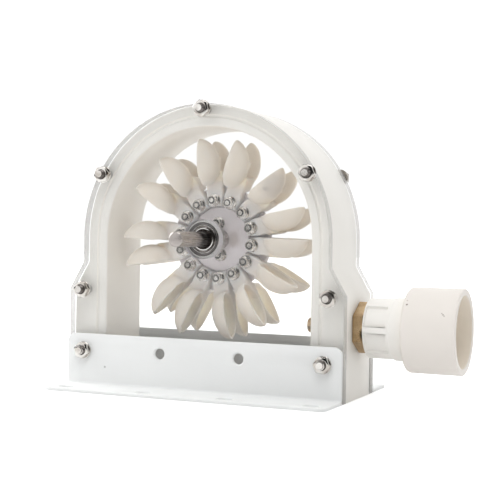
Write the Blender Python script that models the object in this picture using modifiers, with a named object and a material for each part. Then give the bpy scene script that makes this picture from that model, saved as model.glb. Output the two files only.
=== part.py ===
"""Bench-size pelton turbine: a white arched body between clear panels, with a wheel of bolted
twin-bowl buckets on a steel shaft, and a pipe inlet low on the right."""
import math

import bmesh
import bpy
from mathutils import Matrix, Vector

MM = 0.001
GAP = 0.3 * MM

# Housing outline, seen from the front
BASE_HALF = 100.5 * MM
ARCH_RADIUS = 90 * MM
OPENING_RADIUS = 75.5 * MM
AXIS_HEIGHT = 103 * MM
FLARE_TOP = 86 * MM
FLARE_BOTTOM = 68 * MM
ARCH_STEPS = 32

# Depths, measured from the middle plane
BODY_HALF = 24.4 * MM
PANEL_THICK = 6.6 * MM
PANEL_INNER = BODY_HALF + GAP
PANEL_OUTER = PANEL_INNER + PANEL_THICK

# Angle brackets along the front and rear of the base
BRACKET_HALF = 100.5 * MM
BRACKET_THICK = 2 * MM
BRACKET_HEIGHT = 36.3 * MM
BRACKET_REACH = 65 * MM
BRACKET_CORNER = 5 * MM
CURVE_STEPS = 4
BEND_RADIUS = 3.5 * MM
LEG_HOLE_X = 29 * MM
LEG_HOLE_Z = 25.2 * MM
LEG_HOLE_RADIUS = 3.2 * MM
SLOT_PLACES = (-88 * MM, -29.5 * MM, 29.5 * MM, 88 * MM)
SLOT_Y = 55 * MM
SLOT_RADIUS = 3 * MM
SLOT_LENGTH = 11 * MM

# Tie bolts through the panels and the body
BOLT_PLACES = {
    "tie_bolt_top": (0, 189.6 * MM),
    "tie_bolt_upper_left": (-75 * MM, 146.3 * MM),
    "tie_bolt_upper_right": (75 * MM, 146.3 * MM),
    "tie_bolt_mid_left": (-90.3 * MM, 66.8 * MM),
    "tie_bolt_mid_right": (90.3 * MM, 66.8 * MM),
    "tie_bolt_lower_left": (-88 * MM, 24.9 * MM),
    "tie_bolt_lower_right": (88 * MM, 24.9 * MM),
}
BOLT_SHANK = 2.68 * MM
BOLT_THREAD = 3 * MM
BOLT_PROUD = 7 * MM
BOLT_CHAMFER = 0.7 * MM
HEAD_FLATS = 10 * MM
HEAD_HEIGHT = 4 * MM
BRACKET_HOLE_RADIUS = 3.3 * MM
BOLT_STEPS = 12
HOLE_SIDES = 16

# Shaft and bearings
SHAFT_RADIUS = 5 * MM
SHAFT_FRONT = -68.7 * MM
SHAFT_REAR = 36 * MM
SHAFT_CHAMFER = 0.7 * MM
BEARING_OUTER = 13 * MM
BEARING_WIDTH = 8 * MM
BEARING_RECESS = 2.8 * MM
BEARING_SHIELD = 7.9 * MM
BEARING_INNER = BEARING_SHIELD - GAP
BEARING_CHAMFER = 0.4 * MM
TURN_STEPS = 24

# Wheel
DISC_RADIUS = 36 * MM
DISC_STEP_RADIUS = 21.8 * MM
DISC_FRONT = -1.5 * MM
DISC_PLATE_FRONT = 1.5 * MM
DISC_REAR = 5.5 * MM
FLANGE_RADIUS = 16 * MM
FLANGE_THICK = 3 * MM
FLANGE_BOSS_RADIUS = 10 * MM
FLANGE_BOSS_LENGTH = 6.5 * MM
SPACER_RADIUS = 7.2 * MM

# Buckets, modelled pointing up with their bolt at the origin
BUCKET_COUNT = 14
FIRST_BOLT_ANGLE = 94.35
BOLT_CIRCLE = 26.6 * MM
BUCKET_LEANS = (0, 4, -6.5, -5.5, 6, 4.5, -0.5, 5.5, -5, 4, -9, 5.5, -2, 3.5)
STEM_FRONT = -6.5 * MM
STEM_REAR = DISC_PLATE_FRONT - GAP
STEM_INNER_RADIUS = 22.4 * MM
STEM_SHOULDER_RADIUS = 30 * MM
STEM_END_RADIUS = 40 * MM
STEM_INNER_HALF = 4.2 * MM
STEM_SHOULDER_HALF = 6 * MM
STEM_END_HALF = 5.6 * MM
NECK_HALF_WIDTH = 7.5 * MM
NECK_RISE = 5 * MM
RIM_OFFSET = -6.2 * MM
BOWL_START_RADIUS = 36.4 * MM
BOWL_TIP_RADIUS = 69 * MM
BOWL_DEPTH = 13 * MM
BOWL_HALF_WIDTH = 9.5 * MM
BOWL_MIDDLE = 9.8 * MM
BOWL_SPLAY = 2.4 * MM
BOWL_WALL = 1.5 * MM
BOWL_TIP_POWER = 0.55
BOWL_ROOT_POWER = 0.45
BOWL_RINGS = 8
BOWL_STEPS = 10
SPLITTER_HALF = 1.2 * MM
SPLITTER_SET_BACK = 2.6 * MM
SPLITTER_TOP_RADIUS = 56 * MM

# Inlet, along X on the right
INLET_HEIGHT = 47 * MM
NOZZLE_TIP_X = 66 * MM
NOZZLE_TIP_RADIUS = 4.6 * MM
NOZZLE_JET_RADIUS = 2.6 * MM
NOZZLE_CONE_X = 74 * MM
NOZZLE_CONE_RADIUS = 6.1 * MM
NOZZLE_BORE_X = 86 * MM
INLET_STEPS = 32
NOZZLE_THREAD = 13.2 * MM
NOZZLE_BORE = 9 * MM
HEX_FLATS = 29 * MM
HEX_END_X = 108.2 * MM
ADAPTER_THREAD_END_X = 121 * MM
ADAPTER_RADIUS = 19.6 * MM
ADAPTER_RIB_END_X = 126.6 * MM
ADAPTER_NECK_RADIUS = 20.4 * MM
ADAPTER_SPIGOT_RADIUS = 17 * MM
ADAPTER_BORE = 12 * MM
SOCKET_START_X = 134.8 * MM
SOCKET_FLOOR_X = 140 * MM
SOCKET_END_X = 170.3 * MM
SOCKET_RADIUS = 27.5 * MM
SOCKET_BORE = 23.2 * MM
SOCKET_EDGE = 1 * MM

# The origin is under the middle of the whole part
SHIFT_X = (BASE_HALF - SOCKET_END_X) / 2
SHIFT_Y = (-SHAFT_FRONT - BRACKET_REACH) / 2

COLOURS = {
    "white_plastic": ((0.86, 0.86, 0.85, 1), 0.45, 0),
    "clear_plastic": ((0.9, 0.93, 0.93, 1), 0.1, 0),
    "white_coat": ((0.88, 0.89, 0.9, 1), 0.4, 0),
    "steel": ((0.62, 0.61, 0.6, 1), 0.3, 1),
    "bucket_resin": ((0.85, 0.79, 0.7, 1), 0.5, 0),
    "hub_resin": ((0.82, 0.8, 0.84, 1), 0.5, 0),
    "brass": ((0.72, 0.55, 0.3, 1), 0.35, 1),
    "pipe_white": ((0.88, 0.87, 0.86, 1), 0.4, 0),
    "pipe_cream": ((0.88, 0.85, 0.81, 1), 0.4, 0),
}


def clear_scene():
    for obj in list(bpy.data.objects):
        bpy.data.objects.remove(obj, do_unlink=True)


def make_collection(name):
    collection = bpy.data.collections.new(name)
    bpy.context.scene.collection.children.link(collection)
    return collection


def make_materials():
    materials = {}
    for name, (colour, roughness, metallic) in COLOURS.items():
        material = bpy.data.materials.new(name)
        material.use_nodes = True
        shader = material.node_tree.nodes["Principled BSDF"]
        shader.inputs["Base Color"].default_value = colour
        shader.inputs["Roughness"].default_value = roughness
        shader.inputs["Metallic"].default_value = metallic
        materials[name] = material
    return materials


def add_object(name, data, collection, parent=None, material=None):
    obj = bpy.data.objects.new(name, data)
    collection.objects.link(obj)
    obj.parent = parent
    if material is not None:
        data.materials.append(material)
    return obj


def add_cutter(name, mesh, collection, parent=None):
    cutter = add_object(name, mesh, collection, parent)
    cutter.hide_render = True
    cutter.display_type = "WIRE"
    return cutter


def add_boolean(obj, cutter, operation="DIFFERENCE"):
    boolean = obj.modifiers.new(cutter.name, "BOOLEAN")
    boolean.operation = operation
    boolean.object = cutter


def baked_mesh(obj, name):
    """The object's shape with its modifiers, as a plain welded mesh in its own space."""
    graph = bpy.context.evaluated_depsgraph_get()
    mesh = bpy.data.meshes.new_from_object(obj.evaluated_get(graph))
    mesh.name = name
    work = bmesh.new()
    work.from_mesh(mesh)
    bmesh.ops.remove_doubles(work, verts=work.verts, dist=1e-6)
    work.to_mesh(mesh)
    work.free()
    mesh.materials.clear()
    return mesh


def outline_mesh(name, outline, thickness):
    """A flat outline in X and Z with the thickness centred on its plane."""
    curve = bpy.data.curves.new(name, "CURVE")
    curve.dimensions = "2D"
    curve.fill_mode = "BOTH"
    curve.extrude = thickness / 2
    spline = curve.splines.new("POLY")
    spline.points.add(len(outline) - 1)
    for point, (x, z) in zip(spline.points, outline):
        point.co = (x, z, 0, 1)
    spline.use_cyclic_u = True
    holder = bpy.data.objects.new(name, curve)
    bpy.context.scene.collection.objects.link(holder)
    mesh = baked_mesh(holder, name)
    mesh.transform(Matrix.Rotation(math.pi / 2, 4, "X"))
    bpy.data.objects.remove(holder, do_unlink=True)
    bpy.data.curves.remove(curve)
    return mesh


def arc(radius, start, end, steps, centre=(0, 0)):
    points = []
    for step in range(steps + 1):
        angle = math.radians(start + (end - start) * step / steps)
        points.append((centre[0] + radius * math.cos(angle), centre[1] + radius * math.sin(angle)))
    return points


def turned_mesh(name, profile, closed, steps=TURN_STEPS):
    """A (radius, height) profile turned about Z, its outer side running from top to bottom."""
    mesh = bpy.data.meshes.new(name)
    points = [(radius, 0, height) for radius, height in profile]
    edges = [(index, index + 1) for index in range(len(points) - 1)]
    if closed:
        edges.append((len(points) - 1, 0))
    mesh.from_pydata(points, edges, [])
    holder = bpy.data.objects.new(name, mesh)
    bpy.context.scene.collection.objects.link(holder)
    screw = holder.modifiers.new("turn", "SCREW")
    screw.steps = steps
    screw.render_steps = steps
    screw.use_merge_vertices = True
    screw.merge_threshold = 1e-6
    result = baked_mesh(holder, name)
    bpy.data.objects.remove(holder, do_unlink=True)
    bpy.data.meshes.remove(mesh)
    return result


def along_y(mesh):
    """Lay a turned mesh down so that its top points to the front."""
    mesh.transform(Matrix.Rotation(math.pi / 2, 4, "X"))
    return mesh


def along_x(mesh):
    """Lay a turned mesh down so that its top points to the right."""
    mesh.transform(Matrix.Rotation(math.pi / 2, 4, "Y"))
    return mesh


def cylinder_mesh(name, radius, length, sides):
    work = bmesh.new()
    bmesh.ops.create_cone(work, cap_ends=True, segments=sides, radius1=radius, radius2=radius, depth=length)
    mesh = bpy.data.meshes.new(name)
    work.to_mesh(mesh)
    work.free()
    return mesh


def box_mesh(name, low, high):
    work = bmesh.new()
    bmesh.ops.create_cube(work, size=1)
    for axis in range(3):
        for vert in work.verts:
            vert.co[axis] = high[axis] if vert.co[axis] > 0 else low[axis]
    mesh = bpy.data.meshes.new(name)
    work.to_mesh(mesh)
    work.free()
    return mesh


def shade_round(mesh):
    mesh.shade_smooth()
    mesh.set_sharp_from_angle(angle=math.radians(35))


def housing_outline():
    shoulder = [(BASE_HALF, 0), (BASE_HALF, FLARE_BOTTOM), (ARCH_RADIUS, FLARE_TOP)]
    crown = arc(ARCH_RADIUS, 0, 180, ARCH_STEPS, (0, AXIS_HEIGHT))
    return shoulder + crown + [(-x, z) for x, z in reversed(shoulder)]


def opening_outline():
    crown = arc(OPENING_RADIUS, 180, 0, ARCH_STEPS, (0, AXIS_HEIGHT))
    return [(-OPENING_RADIUS, 0)] + crown + [(OPENING_RADIUS, 0)]


def make_bolt_hole_cutter(collection, parent, name, radius, reach):
    """All seven bolt holes in one cutter."""
    work = bmesh.new()
    for x, z in BOLT_PLACES.values():
        place = Matrix.Translation((x, 0, z)) @ Matrix.Rotation(math.pi / 2, 4, "X")
        bmesh.ops.create_cone(work, cap_ends=True, segments=HOLE_SIDES, radius1=radius, radius2=radius,
                              depth=2 * reach, matrix=place)
    mesh = bpy.data.meshes.new(name)
    work.to_mesh(mesh)
    work.free()
    return add_cutter(name, mesh, collection, parent)


def make_body(parts, cutters, frame, bolt_holes, material):
    outline = housing_outline() + opening_outline()
    mesh = outline_mesh("housing_body", outline, 2 * BODY_HALF)
    body = add_object("housing_body", mesh, parts, frame, material)
    add_boolean(body, bolt_holes)
    hole = cylinder_mesh("inlet_hole", NOZZLE_THREAD + GAP, 2 * (BASE_HALF - OPENING_RADIUS), INLET_STEPS)
    hole.transform(Matrix.Rotation(math.pi / 2, 4, "Y"))
    cutter = add_cutter("inlet_hole", hole, cutters, frame)
    cutter.location = ((BASE_HALF + OPENING_RADIUS) / 2, 0, INLET_HEIGHT)
    add_boolean(body, cutter)


def make_panels(parts, cutters, frame, bolt_holes, material):
    hole = cylinder_mesh("bearing_holes", BEARING_OUTER + GAP, 3 * PANEL_OUTER, TURN_STEPS)
    hole.transform(Matrix.Rotation(math.pi / 2, 4, "X"))
    cutter = add_cutter("bearing_holes", hole, cutters, frame)
    cutter.location = (0, 0, AXIS_HEIGHT)
    mesh = outline_mesh("panel", housing_outline(), PANEL_THICK)
    mesh.materials.append(material)
    for name, side in (("front_panel", -1), ("rear_panel", 1)):
        panel = add_object(name, mesh, parts, frame)
        panel.location.y = side * (PANEL_INNER + PANEL_THICK / 2)
        add_boolean(panel, bolt_holes)
        add_boolean(panel, cutter)


def bracket_profile():
    """The angle section in Y and Z, with the leg's back face at zero and the flange reaching out."""
    reach = BRACKET_REACH - PANEL_OUTER - GAP
    inner = BEND_RADIUS - BRACKET_THICK
    centre = (BEND_RADIUS, BEND_RADIUS)
    outer_bend = arc(BEND_RADIUS, 180, 270, CURVE_STEPS, centre)
    inner_bend = arc(inner, 270, 180, CURVE_STEPS, centre)
    flange = [(reach, 0), (reach, BRACKET_THICK)]
    leg = [(BRACKET_THICK, BRACKET_HEIGHT), (0, BRACKET_HEIGHT)]
    return outer_bend + flange + inner_bend + leg


def make_bracket_mesh():
    mesh = outline_mesh("bracket", bracket_profile(), 2 * BRACKET_HALF)
    mesh.transform(Matrix.Rotation(-math.pi / 2, 4, "Z"))
    work = bmesh.new()
    work.from_mesh(mesh)
    reach = BRACKET_REACH - PANEL_OUTER - GAP
    corners = []
    for edge in work.edges:
        middle = (edge.verts[0].co + edge.verts[1].co) / 2
        length = edge.calc_length()
        at_end = abs(abs(middle.x) - BRACKET_HALF) < GAP
        at_top = middle.z > BRACKET_HEIGHT - GAP
        at_lip = middle.y < -reach + GAP
        if at_end and (at_top or at_lip) and abs(length - BRACKET_THICK) < GAP:
            corners.append(edge)
    bmesh.ops.bevel(work, geom=corners, offset=BRACKET_CORNER, offset_type="OFFSET", segments=CURVE_STEPS,
                    profile=0.5, affect="EDGES", material=-1, clamp_overlap=False)
    work.to_mesh(mesh)
    work.free()
    return mesh


def bracket_hole_mesh():
    """Bolt holes, plain leg holes and flange slots of one bracket, in one cutter."""
    work = bmesh.new()
    lie = Matrix.Rotation(math.pi / 2, 4, "X")
    depth = 4 * BRACKET_THICK
    bolts = [BOLT_PLACES["tie_bolt_lower_left"], BOLT_PLACES["tie_bolt_lower_right"]]
    holes = [(x, z, BRACKET_HOLE_RADIUS) for x, z in bolts]
    holes += [(side * LEG_HOLE_X, LEG_HOLE_Z, LEG_HOLE_RADIUS) for side in (-1, 1)]
    for x, z, radius in holes:
        place = Matrix.Translation((x, -BRACKET_THICK / 2, z)) @ lie
        bmesh.ops.create_cone(work, cap_ends=True, segments=HOLE_SIDES, radius1=radius, radius2=radius,
                              depth=depth, matrix=place)
    slot_y = -(SLOT_Y - PANEL_OUTER - GAP)
    straight = SLOT_LENGTH / 2 - SLOT_RADIUS
    for x in SLOT_PLACES:
        found = bmesh.ops.create_cone(work, cap_ends=True, segments=HOLE_SIDES, radius1=SLOT_RADIUS,
                                      radius2=SLOT_RADIUS, depth=depth)
        for vert in found["verts"]:
            vert.co.x += straight if vert.co.x > 0 else -straight
            vert.co += Vector((x, slot_y, BRACKET_THICK / 2))
    mesh = bpy.data.meshes.new("bracket_holes")
    work.to_mesh(mesh)
    work.free()
    return mesh


def make_brackets(parts, cutters, frame, material):
    mesh = make_bracket_mesh()
    mesh.materials.append(material)
    holes = bracket_hole_mesh()
    for name, side in (("front_bracket", -1), ("rear_bracket", 1)):
        bracket = add_object(name, mesh, parts, frame)
        cutter = add_cutter(name + "_holes", holes, cutters, frame)
        for obj in (bracket, cutter):
            obj.location.y = side * (PANEL_OUTER + GAP)
            obj.rotation_euler.z = 0 if side < 0 else math.pi
        add_boolean(bracket, cutter)


def bolt_mesh(name, seat):
    """A hex-head bolt lying along Y, its head bearing at the rear seat and its end at the front."""
    end = seat + BOLT_PROUD
    head_middle = seat + GAP + HEAD_HEIGHT / 2
    profile = [(0, end), (BOLT_THREAD - BOLT_CHAMFER, end), (BOLT_THREAD, end - BOLT_CHAMFER),
               (BOLT_THREAD, PANEL_OUTER), (BOLT_SHANK, PANEL_OUTER), (BOLT_SHANK, -head_middle),
               (0, -head_middle)]
    shank = bpy.data.objects.new(name, along_y(turned_mesh(name, profile, False, BOLT_STEPS)))
    hexagon = cylinder_mesh(name + "_head", HEAD_FLATS / math.sqrt(3), HEAD_HEIGHT, 6)
    hexagon.transform(Matrix.Translation((0, head_middle, 0)) @ Matrix.Rotation(math.pi / 2, 4, "X"))
    head = bpy.data.objects.new(name + "_head", hexagon)
    for obj in (shank, head):
        bpy.context.scene.collection.objects.link(obj)
    add_boolean(shank, head, "UNION")
    mesh = baked_mesh(shank, name)
    for obj in (shank, head):
        bpy.data.objects.remove(obj, do_unlink=True)
    return mesh


def make_bolts(parts, frame, material):
    short = bolt_mesh("panel_bolt", PANEL_OUTER)
    long = bolt_mesh("bracket_bolt", PANEL_OUTER + GAP + BRACKET_THICK)
    for mesh in (short, long):
        mesh.materials.append(material)
        shade_round(mesh)
    for name, (x, z) in BOLT_PLACES.items():
        bolt = add_object(name, long if "lower" in name else short, parts, frame)
        bolt.location = (x, 0, z)


def ring_profile(inner, outer, half, chamfer):
    return [(outer - chamfer, half), (outer, half - chamfer), (outer, chamfer - half),
            (outer - chamfer, -half), (inner, -half), (inner, half)]


def make_bearings(parts, frame, wheel, material):
    half = BEARING_WIDTH / 2
    outer = turned_mesh("bearing_outer", ring_profile(BEARING_SHIELD, BEARING_OUTER, half,
                                                      BEARING_CHAMFER), True)
    inner = turned_mesh("bearing_inner", ring_profile(SHAFT_RADIUS + GAP, BEARING_INNER, half,
                                                      BEARING_CHAMFER), True)
    for mesh in (outer, inner):
        along_y(mesh)
        mesh.materials.append(material)
        shade_round(mesh)
    for end, side in (("front", -1), ("rear", 1)):
        place = side * (PANEL_OUTER - BEARING_RECESS - half)
        ring = add_object(end + "_bearing_outer_ring", outer, parts, frame)
        ring.location = (0, place, AXIS_HEIGHT)
        core = add_object(end + "_bearing_inner_ring", inner, parts, wheel)
        core.location = (0, place, 0)


def make_shaft(parts, wheel, material):
    front = -SHAFT_FRONT
    profile = [(0, front), (SHAFT_RADIUS - SHAFT_CHAMFER, front), (SHAFT_RADIUS, front - SHAFT_CHAMFER),
               (SHAFT_RADIUS, SHAFT_CHAMFER - SHAFT_REAR), (SHAFT_RADIUS - SHAFT_CHAMFER, -SHAFT_REAR),
               (0, -SHAFT_REAR)]
    mesh = along_y(turned_mesh("shaft", profile, False))
    shade_round(mesh)
    add_object("shaft", mesh, parts, wheel, material)


def make_hub(parts, wheel, hub_material, steel):
    """The disc that carries the buckets, the shaft flange behind it and the spacer in front of it."""
    bore = SHAFT_RADIUS + GAP
    disc = [(DISC_STEP_RADIUS, -DISC_FRONT), (DISC_STEP_RADIUS, -DISC_PLATE_FRONT),
            (DISC_RADIUS, -DISC_PLATE_FRONT), (DISC_RADIUS, -DISC_REAR), (bore, -DISC_REAR),
            (bore, -DISC_FRONT)]
    face = -(DISC_REAR + GAP)
    boss_end = face - FLANGE_THICK - FLANGE_BOSS_LENGTH
    flange = [(FLANGE_RADIUS, face), (FLANGE_RADIUS, face - FLANGE_THICK),
              (FLANGE_BOSS_RADIUS, face - FLANGE_THICK), (FLANGE_BOSS_RADIUS, boss_end),
              (bore, boss_end), (bore, face)]
    front = PANEL_OUTER - BEARING_RECESS - BEARING_WIDTH - GAP
    rear = GAP - DISC_FRONT
    spacer = [(SPACER_RADIUS, front), (SPACER_RADIUS, rear), (bore, rear), (bore, front)]
    pieces = (("hub_disc", disc, hub_material), ("shaft_flange", flange, steel),
              ("shaft_spacer", spacer, steel))
    for name, profile, material in pieces:
        mesh = along_y(turned_mesh(name, profile, True))
        shade_round(mesh)
        add_object(name, mesh, parts, wheel, material)


def bowl_mesh(name, wall, side):
    """An egg with a pointed outer end that leans outward, thinner all round by the wall."""
    start = BOWL_START_RADIUS + wall - BOLT_CIRCLE
    tip = BOWL_TIP_RADIUS - wall - BOLT_CIRCLE
    middle = (start + tip) / 2
    half = (tip - start) / 2
    widest = (BOWL_ROOT_POWER - BOWL_TIP_POWER) / (BOWL_ROOT_POWER + BOWL_TIP_POWER)
    largest = (1 - widest) ** BOWL_TIP_POWER * (1 + widest) ** BOWL_ROOT_POWER
    profile = [(0, tip)]
    for ring in range(1, BOWL_RINGS):
        along = math.cos(math.pi * ring / BOWL_RINGS)
        radius = (1 - along) ** BOWL_TIP_POWER * (1 + along) ** BOWL_ROOT_POWER / largest
        profile.append((radius, middle + along * half))
    profile.append((0, start))
    mesh = turned_mesh(name, profile, False, BOWL_STEPS)
    mesh.transform(Matrix.Diagonal((BOWL_DEPTH - wall, BOWL_HALF_WIDTH - wall, 1, 1)))
    for vert in mesh.vertices:
        beyond = max(0, (vert.co.z - middle) / (half + wall))
        vert.co.y += side * BOWL_SPLAY * beyond ** 2
    return mesh


def stem_outline():
    side = [(STEM_INNER_HALF, STEM_INNER_RADIUS), (STEM_SHOULDER_HALF, STEM_SHOULDER_RADIUS),
            (STEM_END_HALF, STEM_END_RADIUS)]
    outline = side + [(-x, radius) for x, radius in reversed(side)]
    return [(x, radius - BOLT_CIRCLE) for x, radius in outline]


def neck_mesh():
    """A block beyond the disc's edge that widens from the stem to both bowls."""
    low = (-STEM_END_HALF, STEM_FRONT, DISC_RADIUS + GAP - BOLT_CIRCLE)
    high = (STEM_END_HALF, -STEM_FRONT, STEM_END_RADIUS + NECK_RISE - BOLT_CIRCLE)
    mesh = box_mesh("neck", low, high)
    for vert in mesh.vertices:
        if vert.co.z > high[2] - GAP:
            vert.co.y = math.copysign(NECK_HALF_WIDTH, vert.co.y)
    return mesh


def bucket_mesh():
    """Stem, neck, splitter and two hollow bowls, their open side towards -X."""
    scene_objects = bpy.context.scene.collection.objects
    stem_mesh = outline_mesh("bucket", stem_outline(), STEM_REAR - STEM_FRONT)
    stem_mesh.transform(Matrix.Translation((0, (STEM_REAR + STEM_FRONT) / 2, 0)))
    stem = bpy.data.objects.new("bucket", stem_mesh)
    scene_objects.link(stem)
    helpers = []

    def helper(name, mesh, operation, location=(0, 0, 0)):
        obj = bpy.data.objects.new(name, mesh)
        scene_objects.link(obj)
        obj.location = location
        helpers.append(obj)
        add_boolean(stem, obj, operation)

    helper("neck", neck_mesh(), "UNION")
    for name, side in (("front_bowl", -1), ("rear_bowl", 1)):
        helper(name, bowl_mesh(name, 0, side), "UNION", (RIM_OFFSET, side * BOWL_MIDDLE, 0))
    low = (RIM_OFFSET + SPLITTER_SET_BACK, -SPLITTER_HALF, STEM_END_RADIUS - BOLT_CIRCLE)
    high = (-RIM_OFFSET, SPLITTER_HALF, SPLITTER_TOP_RADIUS - BOLT_CIRCLE)
    helper("splitter", box_mesh("splitter", low, high), "UNION")
    low = (4 * RIM_OFFSET, -4 * BOWL_MIDDLE, STEM_SHOULDER_RADIUS - BOLT_CIRCLE)
    high = (RIM_OFFSET, 4 * BOWL_MIDDLE, 2 * BOWL_TIP_RADIUS)
    helper("rim_cut", box_mesh("rim_cut", low, high), "DIFFERENCE")
    for name, side in (("front_hollow", -1), ("rear_hollow", 1)):
        helper(name, bowl_mesh(name, BOWL_WALL, side), "DIFFERENCE", (RIM_OFFSET, side * BOWL_MIDDLE, 0))
    bpy.context.view_layer.update()
    mesh = baked_mesh(stem, "bucket")
    for obj in helpers + [stem]:
        bpy.data.objects.remove(obj, do_unlink=True)
    return mesh


def make_buckets(parts, wheel, material):
    mesh = bucket_mesh()
    mesh.materials.append(material)
    shade_round(mesh)
    pitch = 360 / BUCKET_COUNT
    for index, lean in enumerate(BUCKET_LEANS):
        turn = math.radians(90 - FIRST_BOLT_ANGLE + index * pitch)
        bucket = add_object("bucket_%02d" % (index + 1), mesh, parts, wheel)
        bucket.location = (BOLT_CIRCLE * math.sin(turn), 0, BOLT_CIRCLE * math.cos(turn))
        bucket.rotation_euler.y = turn - math.radians(lean)


def make_nozzle(parts, cutters, frame, material):
    """Brass nozzle: jet tip inside, thread through the wall, hex outside, thread into the adapter."""
    hex_start = BASE_HALF + GAP
    profile = [(NOZZLE_THREAD, ADAPTER_THREAD_END_X), (NOZZLE_THREAD, OPENING_RADIUS),
               (NOZZLE_CONE_RADIUS, NOZZLE_CONE_X), (NOZZLE_TIP_RADIUS, NOZZLE_TIP_X),
               (NOZZLE_JET_RADIUS, NOZZLE_TIP_X), (NOZZLE_JET_RADIUS, NOZZLE_CONE_X),
               (NOZZLE_BORE, NOZZLE_BORE_X), (NOZZLE_BORE, ADAPTER_THREAD_END_X)]
    mesh = along_x(turned_mesh("nozzle", profile, True, INLET_STEPS))
    nozzle = add_object("nozzle", mesh, parts, frame, material)
    nozzle.location.z = INLET_HEIGHT
    collar = cylinder_mesh("hex", HEX_FLATS / math.sqrt(3), HEX_END_X - hex_start, 6)
    collar.transform(Matrix.Rotation(math.pi / 2, 4, "X") @ Matrix.Rotation(math.pi / 2, 4, "Y"))
    hexagon = add_cutter("nozzle_hex", collar, cutters, frame)
    hexagon.location = ((HEX_END_X + hex_start) / 2, 0, INLET_HEIGHT)
    add_boolean(nozzle, hexagon, "UNION")
    bore = cylinder_mesh("nozzle_bore", NOZZLE_BORE, 2 * (HEX_END_X - hex_start), INLET_STEPS)
    bore.transform(Matrix.Rotation(math.pi / 2, 4, "Y"))
    cutter = add_cutter("nozzle_bore", bore, cutters, frame)
    cutter.location = hexagon.location
    add_boolean(nozzle, cutter)


def make_adapter(parts, frame, material):
    start = HEX_END_X + GAP
    thread = NOZZLE_THREAD + GAP
    profile = [(ADAPTER_SPIGOT_RADIUS, SOCKET_FLOOR_X), (ADAPTER_SPIGOT_RADIUS, SOCKET_START_X),
               (ADAPTER_NECK_RADIUS, SOCKET_START_X), (ADAPTER_NECK_RADIUS, ADAPTER_RIB_END_X),
               (ADAPTER_RADIUS, ADAPTER_RIB_END_X), (ADAPTER_RADIUS, start), (thread, start),
               (thread, ADAPTER_THREAD_END_X + GAP), (ADAPTER_BORE, ADAPTER_THREAD_END_X + GAP),
               (ADAPTER_BORE, SOCKET_FLOOR_X)]
    mesh = along_x(turned_mesh("pipe_adapter", profile, True))
    shade_round(mesh)
    adapter = add_object("pipe_adapter", mesh, parts, frame, material)
    adapter.location.z = INLET_HEIGHT


def make_socket(parts, frame, material):
    start = SOCKET_START_X + GAP
    seat = ADAPTER_SPIGOT_RADIUS + GAP
    floor = SOCKET_FLOOR_X
    profile = [(SOCKET_RADIUS - SOCKET_EDGE, SOCKET_END_X), (SOCKET_RADIUS, SOCKET_END_X - SOCKET_EDGE),
               (SOCKET_RADIUS, start + SOCKET_EDGE), (SOCKET_RADIUS - SOCKET_EDGE, start), (seat, start),
               (seat, floor), (SOCKET_BORE, floor), (SOCKET_BORE, SOCKET_END_X)]
    mesh = along_x(turned_mesh("pipe_socket", profile, True))
    shade_round(mesh)
    socket = add_object("pipe_socket", mesh, parts, frame, material)
    socket.location.z = INLET_HEIGHT


def main():
    clear_scene()
    parts = make_collection("pelton_turbine")
    cutters = make_collection("cutters")
    materials = make_materials()
    frame = add_object("frame", None, parts)
    frame.location = (SHIFT_X, SHIFT_Y, 0)
    wheel = add_object("wheel", None, parts, frame)
    wheel.location = (0, 0, AXIS_HEIGHT)
    bolt_holes = make_bolt_hole_cutter(cutters, frame, "bolt_holes", BOLT_SHANK + GAP, 2 * PANEL_OUTER)
    make_body(parts, cutters, frame, bolt_holes, materials["white_plastic"])
    make_panels(parts, cutters, frame, bolt_holes, materials["clear_plastic"])
    make_brackets(parts, cutters, frame, materials["white_coat"])
    make_bolts(parts, frame, materials["steel"])
    make_nozzle(parts, cutters, frame, materials["brass"])
    make_adapter(parts, frame, materials["pipe_white"])
    make_socket(parts, frame, materials["pipe_cream"])
    make_bearings(parts, frame, wheel, materials["steel"])
    make_shaft(parts, wheel, materials["steel"])
    make_hub(parts, wheel, materials["hub_resin"], materials["steel"])
    make_buckets(parts, wheel, materials["bucket_resin"])


main()
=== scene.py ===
"""Bench pelton turbine, dressed: white arched housing between clear panels, a wheel of resin buckets
on a steel shaft, and a pipe inlet. Every piece is built in the housing's own frame and put in place at
the end. The frame's middle is on the floor under the middle of the housing; +X is right, +Y is back."""
import math

import bmesh
import bpy
from bpy.props import FloatProperty, FloatVectorProperty, IntProperty, PointerProperty
from mathutils import Matrix, Vector


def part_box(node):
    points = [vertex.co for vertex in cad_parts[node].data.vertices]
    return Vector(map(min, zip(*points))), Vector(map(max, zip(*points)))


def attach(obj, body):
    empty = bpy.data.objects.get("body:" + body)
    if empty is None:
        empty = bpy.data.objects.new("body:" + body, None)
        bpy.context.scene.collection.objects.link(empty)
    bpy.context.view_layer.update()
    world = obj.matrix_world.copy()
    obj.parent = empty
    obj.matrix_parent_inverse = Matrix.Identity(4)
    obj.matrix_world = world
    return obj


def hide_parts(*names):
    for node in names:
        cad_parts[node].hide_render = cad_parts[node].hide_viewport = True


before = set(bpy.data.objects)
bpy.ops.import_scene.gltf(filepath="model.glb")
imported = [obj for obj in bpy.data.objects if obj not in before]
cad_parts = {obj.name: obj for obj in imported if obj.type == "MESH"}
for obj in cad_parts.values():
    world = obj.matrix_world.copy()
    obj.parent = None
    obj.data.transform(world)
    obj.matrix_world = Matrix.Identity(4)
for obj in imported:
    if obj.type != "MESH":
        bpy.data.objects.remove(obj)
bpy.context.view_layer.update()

bl_info = {
    "name": "Bench Pelton Turbine",
    "version": (1, 0, 0),
    "blender": (4, 5, 0),
    "location": "View3D > Sidebar > Turbine",
    "description": "Builds a bench pelton turbine piece by piece",
    "category": "Add Mesh",
}

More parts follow.
